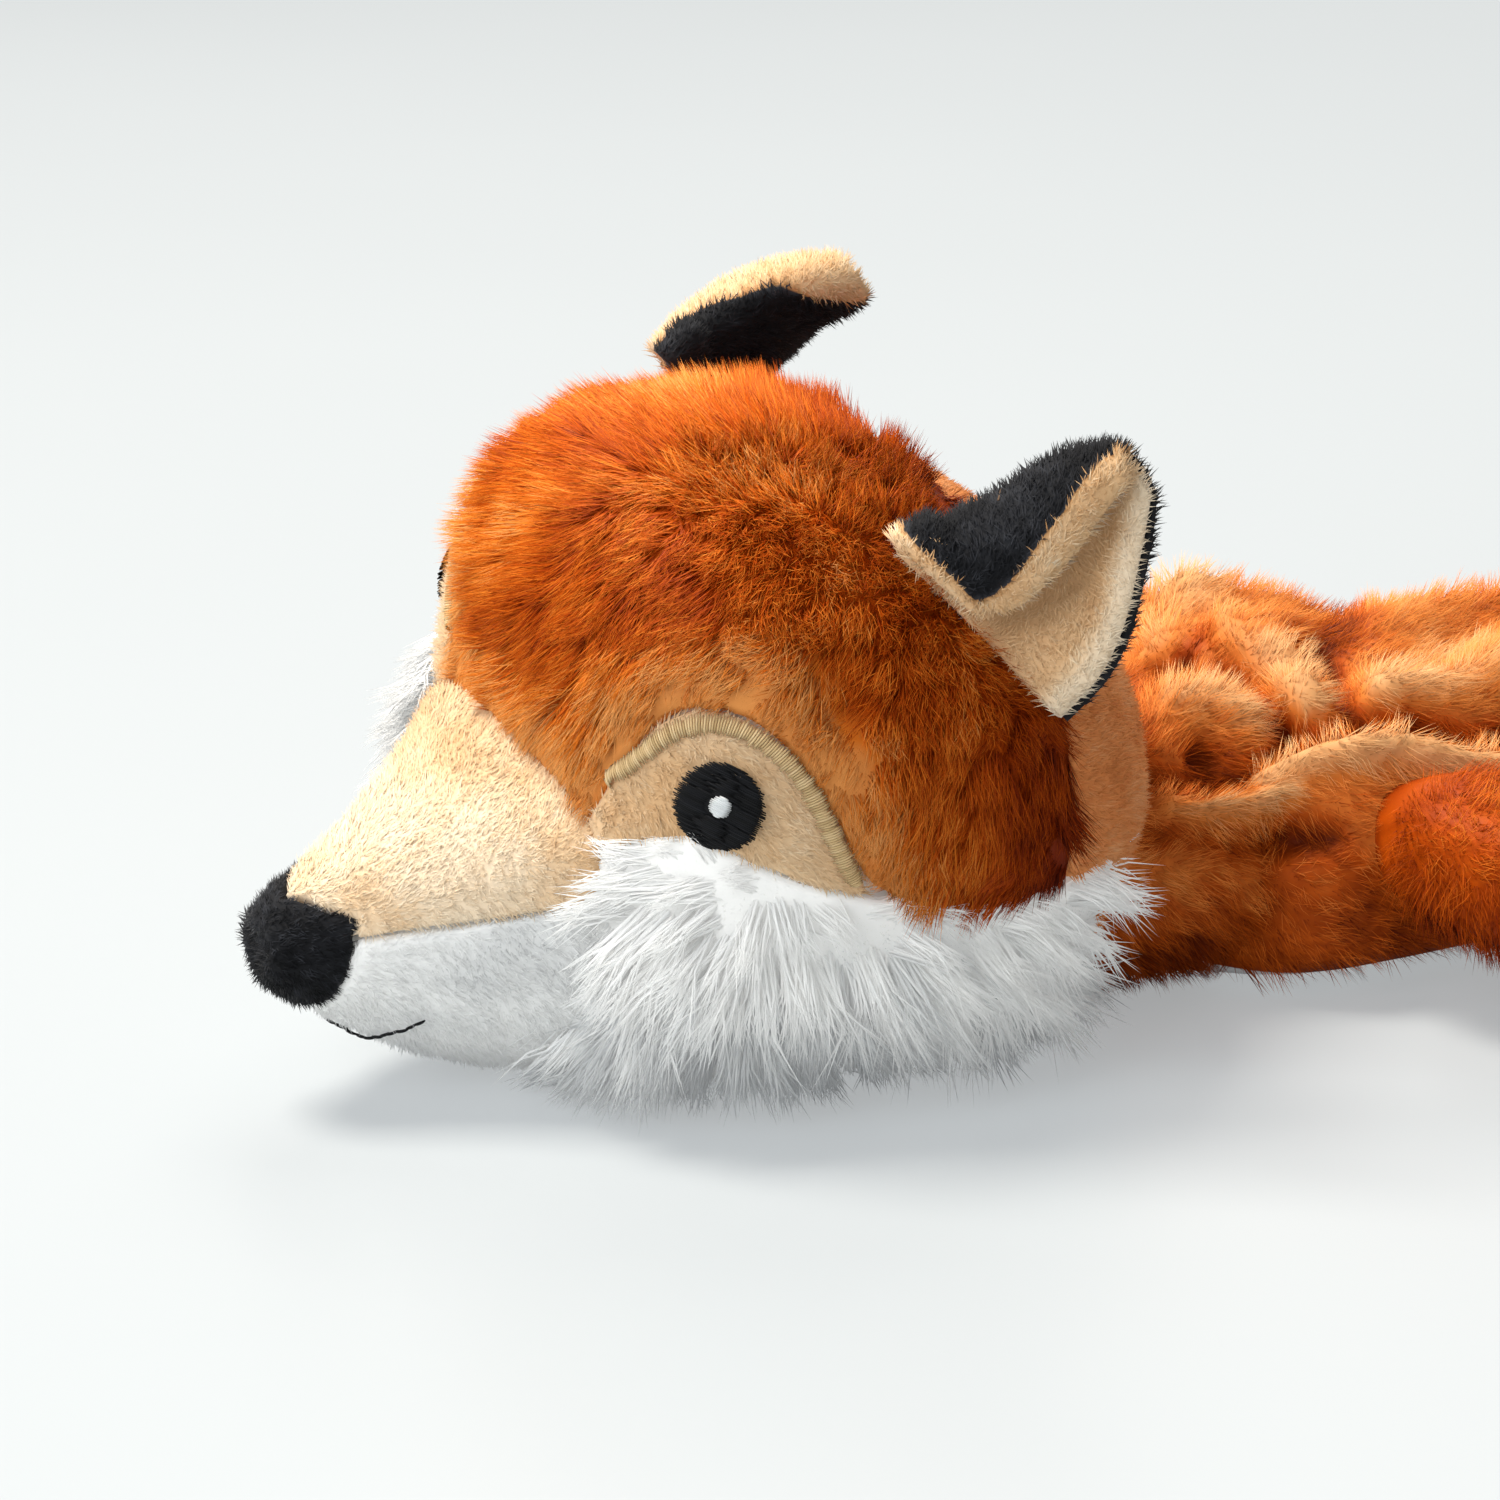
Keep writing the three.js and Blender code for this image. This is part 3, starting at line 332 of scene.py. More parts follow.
def plainMesh(piece):
    # Applies the modifiers of a piece
    depsgraph = bpy.context.evaluated_depsgraph_get()
    evaluated = piece.evaluated_get(depsgraph)
    mesh = bpy.data.meshes.new_from_object(evaluated, preserve_all_data_layers=True, depsgraph=depsgraph)
    piece.modifiers.clear()
    piece.data = mesh
    return mesh


def treeOf(meshes):
    places, faces = [], []
    for mesh in meshes:
        first = len(places)
        places += [v.co.copy() for v in mesh.vertices]
        faces += [[first + k for k in polygon.vertices] for polygon in mesh.polygons]
    return BVHTree.FromPolygons(places, faces)


def nodeTree(node):
    return treeOf([frame["nodes"][node].data])


def nearest(tree, points):
    # The closest points of a surface, how it faces there and how far they are
    found = [tree.find_nearest(Vector(p)) for p in points]
    return [np.array([f[k] for f in found]) for k in (0, 1, 3)]


def wander(points, size, seed):
    # A smooth field of directions, the same for points that lie close together
    shift = Vector((seed * 7.3, seed * 3.1, seed * 5.7))
    return np.array([noise.noise_vector(Vector(p) / size + shift) for p in points])


def flowing(points, size, seed):
    # A smooth field of numbers
    shift = Vector((seed * 2.9, seed * 8.3, seed * 4.1))
    return np.array([noise.noise(Vector(p) / size + shift) for p in points])


def storeOn(mesh, values):
    for name, numbers in values.items():
        numbers = np.asarray(numbers, np.float32)
        kind, field = ("FLOAT_VECTOR", "vector") if numbers.ndim == 2 else ("FLOAT", "value")
        attribute = mesh.attributes.get(name) or mesh.attributes.new(name, kind, "POINT")
        attribute.data.foreach_set(field, numbers.ravel())


class PieceGraph(Graph):
    # Geometry nodes that cover a piece with small meshes, with named inputs
    def __init__(self, name, inputs):
        super().__init__(bpy.data.node_groups.new(name, "GeometryNodeTree"))
        made = self.tree.interface.new_socket
        made("Geometry", in_out="INPUT", socket_type="NodeSocketGeometry")
        self.sockets = {
            key: made(key, in_out="INPUT", socket_type=f"NodeSocket{kind}") for key, kind in inputs.items()
        }
        made("Geometry", in_out="OUTPUT", socket_type="NodeSocketGeometry")
        self.given = self.node("NodeGroupInput", output="Geometry")

    def named(self, name, kind="FLOAT"):
        values = {"Name": name}
        return self.node("GeometryNodeInputNamedAttribute", values, data_type=kind, output="Attribute")

    def facing(self, along, axis, beside, besideAxis):
        # A turn that lays one axis along a direction, and another as near as it can to a second direction
        kind = "FunctionNodeAlignRotationToVector"
        first = self.node(kind, {"Vector": along}, axis=axis)
        return self.node(kind, {"Rotation": first, "Vector": beside}, axis=besideAxis, pivot_axis=axis)

    def shown(self, thing):
        return self.node("GeometryNodeObjectInfo", {"Object": thing, "As Instance": True}, output="Geometry")

    def store(self, geometry, name, value, kind, domain):
        values = {"Geometry": geometry, "Name": name, "Value": value}
        return self.node("GeometryNodeStoreNamedAttribute", values, data_type=kind, domain=domain)

    def mapped(self, grown, tint, fanned):
        # Real strands with their map: tint across, which fans out a little by side, and root to tip
        tinted = self.store(grown, "tint", tint, "FLOAT", "INSTANCE")
        real = self.node("GeometryNodeRealizeInstances", {0: tinted})
        across = self.node("ShaderNodeClamp", {0: self.named("tint") + fanned, 1: 0.01, 2: 0.99})
        place = self.combine(across, self.named("upward") * 0.96 + 0.02)
        return self.store(real, "OFBake", place, "FLOAT2", "CORNER")

    def run(self, piece, geometry, material, settings):
        finished = self.node("GeometryNodeSetMaterial", {"Geometry": geometry, "Material": material})
        self.node("NodeGroupOutput", {0: finished})
        modifier = piece.modifiers.new(self.tree.name, "NODES")
        modifier.node_group = self.tree
        for name, value in settings.items():
            modifier[self.sockets[name].identifier] = value
        mesh = plainMesh(piece)
        bpy.data.node_groups.remove(self.tree)
        return mesh


spentNames = ("lay", "bend", "cover", "long", "tint", "facing", "run", "out", "reach", "upward", "side")


def clearMesh(mesh, material):
    # Leaves one material and no spent attributes
    for name in [a.name for a in mesh.attributes if a.name in spentNames]:
        mesh.attributes.remove(mesh.attributes[name])
    mesh.materials.clear()
    mesh.materials.append(material)
    mesh.polygons.foreach_set("material_index", np.zeros(len(mesh.polygons), np.int32))


def smallMesh(name, vertices, faces, upward, side):
    # A mesh to be repeated: each point knows its share of the way up, and its side
    mesh = smoothMesh(name, vertices, faces)
    storeOn(mesh, {"upward": upward, "side": side})
    return bpy.data.objects.new(name, mesh)


def makeStrand(name, slim, bend, rings):
    # A strand of pile: a closed three-sided spike along +Z that leans over towards +X
    vertices, faces, upward, side = [], [], [], []
    for place in np.linspace(0, 1, rings + 2)[:-1]:
        wide = slim * (1 - 0.55 * place)
        for k in range(3):
            angle = k * math.tau / 3
            vertices.append((bend * place**2 + wide * math.cos(angle), wide * math.sin(angle), place))
            upward.append(place)
            side.append(k)
    for ring in range(rings):
        for k in range(3):
            a, b = ring * 3 + k, ring * 3 + (k + 1) % 3
            faces.append((a, b, b + 3, a + 3))
    tip = len(vertices)
    last = tip - 3
    faces += [(last + k, last + (k + 1) % 3, tip) for k in range(3)] + [(2, 1, 0)]
    return smallMesh(name, vertices + [(bend, 0, 1)], faces, upward + [1], side + [1])


shortStrands = [makeStrand(f"short_{k}", 0.085, 0.15 + 0.15 * k, 0) for k in range(3)]
longStrands = [makeStrand(f"long_{k}", 0.02, 0.1 + 0.16 * k, 1) for k in range(4)]
fineStrands = [makeStrand(f"fine_{k}", 0.019, 0.05 + 0.1 * k, 0) for k in range(4)]


# A pile grows on a skin that carries, at its points: lay, the way the pile stands; bend, the way its tips
# fall; cover, 1 where it grows; long, its share of the full length; tint, from 0 to 1; and facing.
# The strands draw together into locks, whose tips meet.
pileInputs = (
    "Density", "Length", "Tilt", "Tint spread", "Lock size", "Lock density", "Lock pull", "Lock shade",
)


def prepareSkin(skin, lay, bend, cover, long, tint):
    mesh = skin.data
    points = pointsOf(mesh)
    storeOn(mesh, {
        "lay": unit(lay), "bend": unit(bend), "facing": normalsOf(mesh), "long": long,
        "cover": cover * (points[:, 2] > 1.2 * mm), "tint": np.clip(tint, 0.02, 0.98),
    })
    # The map of the cloth itself: its tint, and a speckle of depths near the roots, which gives it the
    # painted shade of the roots
    layer = mesh.uv_layers.new(name="OFBake")
    loops = np.empty(len(mesh.loops), np.int32)
    mesh.loops.foreach_get("vertex_index", loops)
    fine = 0.5 + 0.5 * np.sin(points @ np.array([913.0, 771.0, 1257.0]) * 3)
    across = np.clip(tint + 0.04 * (fine - 0.5), 0.02, 0.98)
    depth = 0.12 + 0.2 * (0.5 + 0.5 * np.sin(points @ np.array([1517.0, -1103.0, 859.0]) * 2))
    layer.data.foreach_set("uv", np.stack([across[loops], depth[loops]], 1).astype(np.float32).ravel())


def pileNodes(graph, strands):
    given, named = graph.given, graph.named
    seed = given.other("Seed")
    place = graph.node("GeometryNodeInputPosition")

    def random(low, high, shift):
        values = {2: low, 3: high, "Seed": seed + shift}
        return graph.node("FunctionNodeRandomValue", values, output=1, data_type="FLOAT")

    def sampled(value, kind="FLOAT_VECTOR"):
        values = {"Geometry": middles, "Value": value, "Index": own}
        return graph.node("GeometryNodeSampleIndex", values, data_type=kind)

    # The middles of the locks and where their tips meet
    scatter = "GeometryNodeDistributePointsOnFaces"
    values = {
        "Mesh": given, "Distance Min": given.other("Lock size") * 0.7,
        "Density Max": given.other("Lock density"), "Seed": seed + 9,
    }
    middles = graph.node(scatter, values, distribute_method="POISSON")
    full = given.other("Length") * named("long")
    along = graph.vector("SCALE", named("lay", "FLOAT_VECTOR"), full)
    values = {0: (-0.3, -0.3, -0.3), 1: (0.3, 0.3, 0.3), "Seed": seed + 10}
    astray = graph.node("FunctionNodeRandomValue", values, data_type="FLOAT_VECTOR")
    tip = graph.vector("ADD", graph.vector("ADD", place, along), graph.vector("SCALE", astray, full))
    own = graph.node("GeometryNodeSampleNearest", {"Geometry": middles, "Sample Position": place})
    towards = graph.vector("SUBTRACT", sampled(tip), place)
    pull = given.other("Lock pull")
    alone = graph.vector("SCALE", along, 1 - pull)
    strand = graph.vector("ADD", alone, graph.vector("SCALE", towards, pull))
    # No strand reaches through the floor
    floorAt = 0.4 * mm - graph.separate(place).other("Z")
    parts = graph.separate(strand)
    lifted = parts.maths("MAXIMUM", parts.other("Z"), floorAt)
    strand = graph.combine(parts, parts.other("Y"), lifted)
    values = {"Mesh": given, "Density": given.other("Density") * named("cover"), "Seed": seed}
    points = graph.node(scatter, values, distribute_method="RANDOM")
    turned = graph.facing(strand, "Z", named("bend", "FLOAT_VECTOR"), "X")
    tilts = [random(-1.0, 1.0, k) * given.other("Tilt") for k in (1, 2)]
    angles = graph.node("FunctionNodeEulerToRotation", {0: graph.combine(*tilts, random(-0.9, 0.9, 3))})
    values = {"Rotation": turned, "Rotate By": angles}
    rotation = graph.node("FunctionNodeRotateRotation", values, rotation_space="LOCAL")
    values = {4: 0, 5: len(strands) - 1, "Seed": seed + 4}
    pick = graph.node("FunctionNodeRandomValue", values, output=2, data_type="INT")
    size = graph.length(strand) * random(0.75, 1.1, 5)
    values = {
        "Points": points, "Instance": joined(graph, [graph.shown(strand) for strand in strands]),
        "Pick Instance": True, "Instance Index": pick, "Rotation": rotation,
        "Scale": graph.combine(size, size, size),
    }
    grown = graph.node("GeometryNodeInstanceOnPoints", values)
    # Painted shade between locks: a lock is lighter in the middle and darker towards its edges; and each
    # differs a little in its own tone
    aside = graph.length(graph.vector("SUBTRACT", sampled(place), place))
    shade = sampled(random(0.1, 0.9, 11), "FLOAT") - aside / given.other("Lock size")
    spread = random(-1.0, 1.0, 6) * given.other("Tint spread")
    tint = named("tint") + spread + shade * given.other("Lock shade")
    return joined(graph, [given, graph.mapped(grown, tint, (named("side") - 1) * 0.006)])


def joined(graph, parts):
    both = graph.node("GeometryNodeJoinGeometry")
    for part in parts:
        graph.tree.links.new(part.output, both.output.node.inputs[0])
    return both


def growPile(skin, strands, material, s):
    graph = PieceGraph("pile", {**{name: "Float" for name in pileInputs}, "Seed": "Int"})
    lock = s["lockSize"] * mm
    quick = 1
    mesh = graph.run(skin, pileNodes(graph, strands), material, {
        "Density": s["density"] * quick / mm**2, "Length": s["length"] * mm, "Tilt": s["tilt"],
        "Tint spread": s["tintSpread"], "Lock size": lock, "Lock density": 2 / lock**2,
        "Lock pull": s["lockPull"], "Lock shade": s["lockShade"], "Seed": s["seed"],
    })
    # Tips that would pass through the floor lie flat on it
    points = pointsOf(mesh)
    resting = 1 * mm
    over = np.minimum(points[:, 2] - resting, 0) / resting
    points[:, 2] = np.maximum(points[:, 2], resting) + resting * 0.85 * (np.exp(over) - 1)
    movePoints(mesh, points)
    # Pile scatters light as the cloth under it faces, so its normals lean towards the cloth's
    facing = np.empty(len(mesh.vertices) * 3)
    mesh.attributes["facing"].data.foreach_get("vector", facing)
    leaning = unit(facing.reshape(-1, 3) * 0.6 + normalsOf(mesh) * 0.4)
    mesh.normals_split_custom_set_from_vertices(leaning.tolist())
    clearMesh(mesh, material)


# Head
headSettings = {
    "place": (0, -119.3029 * mm, 43 * mm),
    "roll": 12,  # degrees, onto the left cheek
    "clothThickness": 2.2,  # mm, from the stuffing to the cloth's face
    "sharpEdge": 55,  # degrees; sharper edges of a solid stay as edges of the cloth
}
headPlace = np.array(headSettings["place"])
headAxes = np.array(Matrix.Rotation(math.radians(headSettings["roll"]), 3, "Y"))
stuffingTree = nodeTree("head_stuffing")


def inHead(points):
    return (points - headPlace) @ headAxes


def outOfHead(vectors):
    return vectors @ headAxes.T


def relax(shape, verts, factor):
    bmesh.ops.smooth_vert(
        shape, verts=verts, factor=factor, use_axis_x=True, use_axis_y=True, use_axis_z=True
    )


def softCopy(name, node, s):
    # Copies the solid of a cloth panel as a smooth skin
    press = s["clothThickness"] * mm
    shape = bmesh.new()
    shape.from_mesh(frame["nodes"][node].data)
    bmesh.ops.remove_doubles(shape, verts=shape.verts, dist=0.01 * mm)
    for vertex in shape.verts:
        foot, _, _, away = stuffingTree.find_nearest(vertex.co)
        if away > press:
            vertex.co = foot + (vertex.co - foot) * (press / away)
    bmesh.ops.join_triangles(
        shape, faces=shape.faces,
        angle_face_threshold=math.radians(40), angle_shape_threshold=math.radians(50),
    )
    shape.normal_update()
    sharp = shape.edges.layers.float.new("crease_edge")
    rim = set()
    for edge in shape.edges:
        if len(edge.link_faces) == 2 and edge.calc_face_angle(0) > math.radians(s["sharpEdge"]):
            edge[sharp] = 0.75
            rim.update(edge.verts)
    inner = [v for v in shape.verts if v not in rim]
    for _ in range(2):
        relax(shape, inner, 0.3)
    mesh = bpy.data.meshes.new(name)
    shape.to_mesh(mesh)
    shape.free()
    piece = addObject(name, mesh)
    rounder = piece.modifiers.new("round", "SUBSURF")
    rounder.levels = rounder.render_levels = 2
    plainMesh(piece)
    liftOver(piece.data, press)
    piece.data.polygons.foreach_set("use_smooth", [True] * len(piece.data.polygons))
    return piece


def liftOver(mesh, height):
    # Brings the outer face of a cloth to an even height over the stuffing
    shape = bmesh.new()
    shape.from_mesh(mesh)
    for _ in range(3):
        shape.normal_update()
        outer = []
        for vertex in shape.verts:
            foot, normal, _, _ = stuffingTree.find_nearest(vertex.co)
            rise = (vertex.co - foot).dot(normal)
            if vertex.normal.dot(normal) > 0.4 and rise > -3 * mm:
                vertex.co += vertex.normal * (height - rise) * 0.8
                outer.append(vertex)
        relax(shape, outer, 0.4)
    shape.to_mesh(mesh)
    shape.free()


patches = ["leftEyePatchCloth", "rightEyePatchCloth"]
shortPile = {
    "strands": shortStrands, "density": 5, "length": 1.6, "tilt": 0.4, "lift": 0.7, "comb": 0.6,
    "lockSize": 1.6, "lockPull": 0.35, "lockShade": 0.16, "tintSpread": 0.12,
}
tanPanel = {**shortPile, "slot": "tan_plush", "material": tanPile}
ruffPile = {
    "slot": "white_plush", "material": whitePile, "strands": longStrands, "density": 2.6, "length": 11,
    "tilt": 0.1, "lift": 0.9, "comb": 0.8, "lockSize": 4.4, "lockPull": 0.8, "lockShade": 0.55,
    "tintSpread": 0.2, "shorterAt": ["crownPelt", *patches], "seamLength": 0.65, "seamReach": 6,
    "seamTint": 0,
    "middlePixel": (790, 905),  # the pile runs away from here
}
headPanels = {
    "noseCloth": {
        **shortPile, "node": "nose", "slot": "black_plush", "material": blackPile, "length": 1.3,
        "lift": 1.2, "lockPull": 0.5, "lockShade": 0.7, "seed": 1,
    },
    "muzzleTopCloth": {**tanPanel, "node": "muzzle_top", "seed": 2},
    "jawCloth": {
        **shortPile, "node": "jaw", "slot": "white_plush", "material": whitePile, "length": 1.4,
        "density": 4, "seed": 3,
    },
    "backOfHeadCloth": {
        **shortPile, "node": "back_of_head", "slot": "amber_plush", "material": salmonPile, "density": 3.6,
        "lockShade": 0.3, "seed": 4,
    },
    "leftEyePatchCloth": {**tanPanel, "node": "left_eye_patch", "seed": 5},
    "rightEyePatchCloth": {**tanPanel, "node": "right_eye_patch", "seed": 6},
    "crownPelt": {
        "node": "crown", "slot": "rust_plush", "material": rustPile, "strands": fineStrands, "density": 7.5,
        "length": 6, "tilt": 0.25, "lift": 1.0, "comb": 0.75, "tintSpread": 0.24, "lockSize": 4.6,
        "lockPull": 0.42, "lockShade": 0.16, "shorterAt": ["muzzleTopCloth", *patches], "seamLength": 0.5,
        "seamReach": 7, "seamTint": 0.5, "seed": 7,
    },
    "leftCheekRuff": {**ruffPile, "node": "left_cheek_ruff", "seed": 8},
    "rightCheekRuff": {**ruffPile, "node": "right_cheek_ruff", "seed": 9},
}
headSkins = {name: softCopy(name, s["node"], headSettings) for name, s in headPanels.items()}
headCloth = treeOf(skin.data for skin in headSkins.values())

# Where the embroidery lies, in pixels of the photograph; the right side mirrors it in the head
embroiderySettings = {
    "browPixels": [
        (608, 781), (628, 767), (651, 749), (674, 732), (697, 724.5), (720, 724), (743, 730), (765, 743),
        (785, 760), (803, 781), (817, 803), (828, 826), (837, 846), (848, 869), (858, 883),
    ],
    "browWidth": 2.6,  # mm, as all sizes below
    "browPitch": 0.36,
    "browRise": 0.75,
    "mouthPixels": [
        (327, 1027), (337, 1030), (357, 1032.5), (377, 1031.5), (393, 1027.5), (407, 1024), (421, 1017.5),
    ],
    "mouthStitch": 2,
    "mouthThickness": 0.5,
    "eyePixel": (720.5, 805),
    "eyeTurn": -24,  # degrees, how the rows of the eye's threads lie
    "eyeRadius": 6.1,
    "eyePitch": 0.27,
    "eyeThread": 3.5,  # the longest thread of a row
    "glintRadius": 1.45,
    "glintShift": (0.3, 0.3),  # as the photograph shows it
    "sunk": -0.6,  # the eye follows the cloth no further down than this
    "threadThickness": 0.36,
}


def fromCamera(pixel):
    # The place on the cloth of the head that shows at a pixel
    aside, down = ((value - view.middle) / view.focal for value in pixel)
    ray = (-view.back + view.right * aside - view.up * down).normalized()
    place, _, _, _ = headCloth.ray_cast(view.place, ray)
    if place is None:
        # Beside the head: the place on the cloth that the ray passes closest
        passed = [view.place + ray * (cameraSettings["distance"] + k * mm) for k in range(-90, 60, 2)]
        place, _, _, _ = min((headCloth.find_nearest(p) for p in passed), key=lambda found: found[3])
    return np.array(place)


def onSide(points, side):
    # The same places on the cloth, on one side of the head, and how it faces
    if side == "right":
        points = outOfHead(inHead(np.array(points)) * (-1, 1, 1)) + headPlace
    return nearest(headCloth, points)[:2]


def evenPath(points, pitch):
    steps = np.linalg.norm(np.diff(points, axis=0), axis=1)
    run = np.concatenate([[0], np.cumsum(steps)])
    places = np.arange(0, run[-1], pitch * mm)
    return np.stack([np.interp(places, run, points[:, k]) for k in range(3)], 1)


def throughPoints(points, count):
    # A smooth line through some points, or a smooth sheet through lines of them
    points = np.asarray(points, float)
    padded = np.concatenate([[2 * points[0] - points[1]], points, [2 * points[-1] - points[-2]]])
    t = np.linspace(0, len(points) - 1, count)
    i = np.minimum(t.astype(int), len(points) - 2)
    t = (t - i).reshape((-1,) + (1,) * (points.ndim - 1))
    a, b, c, d = (padded[i + k] for k in range(4))
    return b + 0.5 * t * (c - a + t * (2 * a - 5 * b + 4 * c - d + t * (3 * (b - c) + d - a)))


def layEmbroidery(s):
    brow, mouth = (
        evenPath(throughPoints([fromCamera(pixel) for pixel in s[pixels]], count), pitch)
        for pixels, count, pitch in (
            ("browPixels", 160, s["browPitch"]), ("mouthPixels", 60, s["mouthStitch"] * 0.8),
        )
    )
    eye = fromCamera(s["eyePixel"])
    # The cloth round the eye tells how the eye faces
    around = [eye + d for d in np.random.default_rng(1).normal(0, 2 * mm, (30, 3))]
    return {
        side: {
            "brow": onSide(brow, side), "mouth": onSide(mouth, side), "eye": onSide([eye], side)[0],
            "eyeOut": unit(onSide(around, side)[1].mean(0)),
        }
        for side in sides
    }


embroidery = layEmbroidery(embroiderySettings)


def gapTo(points, places):
    # How far some points are from the nearest of the places
    if len(places) > 60:
        places = places[::3]
    return np.min(np.linalg.norm(points[:, None] - places[None], axis=2), 1)


def easeIn(values, low, high):
    t = np.clip((values - low * mm) / ((high - low) * mm), 0, 1)
    return t * t * (3 - 2 * t)


def headComb(name, s, local):
    # The way the cloth is brushed, in the axes of the head
    if "Ruff" in name:
        middle = inHead(fromCamera(s["middlePixel"])) * (1 if name.startswith("left") else -1, 1, 1)
        return unit(local - middle) + (0, 0.1, -0.28)
    if name == "crownPelt":
        return np.sign(local[:, :1]) * (0.3, 0, 0) + (0, -0.5, -0.3)
    return np.tile((0.0, 1.0, 0.1), (len(local), 1))


def dressHead(name, s):
    skin = headSkins[name]
    seed = s["seed"]
    points, normals = pointsOf(skin.data), normalsOf(skin.data)
    outward = np.sum(normals * nearest(stuffingTree, points)[1], 1)
    local = inHead(points)
    localNormals = normals @ headAxes
    comb = unit(alongCloth(headComb(name, s, local), localNormals))
    drift = wander(points, 12 * mm, seed) * 0.55 + wander(points, 4 * mm, seed + 40) * 0.35
    lay = outOfHead(localNormals * s["lift"] + comb * s["comb"]) + drift
    bend = outOfHead(comb) * 0.5 + np.array([0, 0, -0.6]) + wander(points, 8 * mm, seed + 60)
    long = 1 + 0.18 * flowing(points, 10 * mm, seed)
    tint = 0.5 + 0.3 * flowing(points, 20 * mm, seed) + 0.2 * flowing(points, 6 * mm, seed + 3)
    cover = (outward > 0.35).astype(float)
    # Painted light and shade: the pile is lighter towards the nose, and the crown's is darker towards the
    # back of the head and low down
    ahead = -local[:, 1] / mm
    if name == "crownPelt":
        tint += np.clip(ahead / 85, -0.42, 0.12) - 0.15 * np.clip(0.6 - local[:, 2] / (40 * mm), 0, 1)
        # The pile closes round the feet of the ears
        for ear in ("left_ear_back", "right_ear_back"):
            feet, _, away = nearest(nodeTree(ear), points)
            near = (1 - easeIn(away, 1, 7))[:, None]
            lay += (unit(feet - points) * 0.7 + normals * 0.5) * near
            bend += unit(feet - points) * near
            long *= 1 + 0.2 * near[:, 0]
    if "Ruff" in name:
        # Painted light and shade: the ruff is lighter high up and darker low down
        tint += np.clip((points[:, 2] / mm - 22) / 30, -0.3, 0.4)
    if name == "muzzleTopCloth":
        tint += np.clip((ahead - 45) / 60, -0.25, 0.35)
    if "shorterAt" in s:
        seamGap = nearest(treeOf(headSkins[other].data for other in s["shorterAt"]), points)[2]
        long *= s["seamLength"] + (1 - s["seamLength"]) * easeIn(seamGap, 1, s["seamReach"])
        # The crown is golden over the seams of the muzzle
        tint += s["seamTint"] * np.clip(ahead / 20, 0, 1) * (1 - easeIn(seamGap, 3, 13))
    for work in embroidery.values():
        brow, eye = gapTo(points, work["brow"][0]), gapTo(points, work["eye"])
        if name == "crownPelt":
            long *= 0.62 + 0.38 * easeIn(brow, 1.5, 6)
        else:
            cover *= eye > (embroiderySettings["eyeRadius"] - 0.4) * mm
        if "Ruff" in name:
            long *= 0.45 + 0.55 * easeIn(eye, 9, 17)
        cover *= (brow > 0.9 * mm) * (gapTo(points, work["mouth"][0]) > 0.7 * mm)
    prepareSkin(skin, lay, bend, cover, long, tint)
    growPile(skin, s["strands"], s["material"], s)
    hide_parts(s["node"])
    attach(skin, "head")


for name, s in headPanels.items():
    dressHead(name, s)
print("head done:", {name: len(skin.data.polygons) for name, skin in headSkins.items()})


# Embroidery
def makeThread(name, arch, around=5, steps=4):
    # A short thread that arches over, for all stitches
    vertices, faces, upward, side = [], [], [], []
    for i in range(steps + 1):
        x = i / steps - 0.5
        wide = 0.5 * (1 - 0.5 * abs(2 * x) ** 3)
        for k in range(around):
            angle = k / around * math.tau
            vertices.append((x, wide * math.cos(angle), arch * (1 - 4 * x * x) + wide * math.sin(angle)))
            upward.append(i / steps)
            side.append(k)
    for i in range(steps):
        for k in range(around):
            a, b = i * around + k, i * around + (k + 1) % around
            faces.append((a, a + around, b + around, b))
    faces += [tuple(range(around)), tuple(steps * around + k for k in reversed(range(around)))]
    return smallMesh(name, vertices, faces, upward, side)


archedThread, flatThread = makeThread("arched_thread", 1.1), makeThread("flat_thread", 0.25)


def sewThreads(name, thread, thick, material, places, fields):
    # Sews a thread at each place. Fields: run, the way it lies; out, the way the cloth faces; reach; tint
    graph = PieceGraph("stitches", {"Thickness": "Float"})
    named, wide = graph.named, graph.given.other("Thickness")
    values = {
        "Points": graph.given, "Instance": graph.shown(thread),
        "Rotation": graph.facing(named("run", "FLOAT_VECTOR"), "X", named("out", "FLOAT_VECTOR"), "Z"),
        "Scale": graph.combine(named("reach"), wide, wide),
    }
    sewn = graph.node("GeometryNodeInstanceOnPoints", values)
    mesh = smoothMesh(name, places, [])
    storeOn(mesh, fields)
    piece = addObject(name, mesh)
    threads = graph.mapped(sewn, named("tint"), named("side") * 0.01)
    clearMesh(graph.run(piece, threads, material, {"Thickness": thick * mm}), material)
    return piece


def sewBrow(side, s):
    random = np.random.default_rng(11)
    places, out = embroidery[side]["brow"]
    count = len(places)
    for _ in range(20):
        places = np.concatenate([places[:1], (places[:-2] + 2 * places[1:-1] + places[2:]) / 4, places[-1:]])
    out = unit(sum(np.roll(out, k, 0) for k in range(-4, 5)))
    along = unit(np.gradient(places, axis=0))
    run = unit(np.cross(out, along) + along * random.normal(0.12, 0.025, (count, 1)))
    taper = np.clip(np.minimum(np.arange(count), count - 1 - np.arange(count)) / 6 + 0.55, 0, 1)
    reach = s["browWidth"] * mm * taper * random.uniform(0.85, 1.25, count)
    places = places + out * s["browRise"] * mm + run * random.normal(0, 0.06 * mm, (count, 1))
    tint = np.clip(random.normal(0.5, 0.16, count), 0.05, 0.95)
    fields = {"run": run, "out": out, "reach": reach, "tint": tint}
    piece = sewThreads(f"{side}BrowStitches", archedThread, s["threadThickness"], goldThread, places, fields)
    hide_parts(f"{side}_brow_stitch")
    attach(piece, "head")


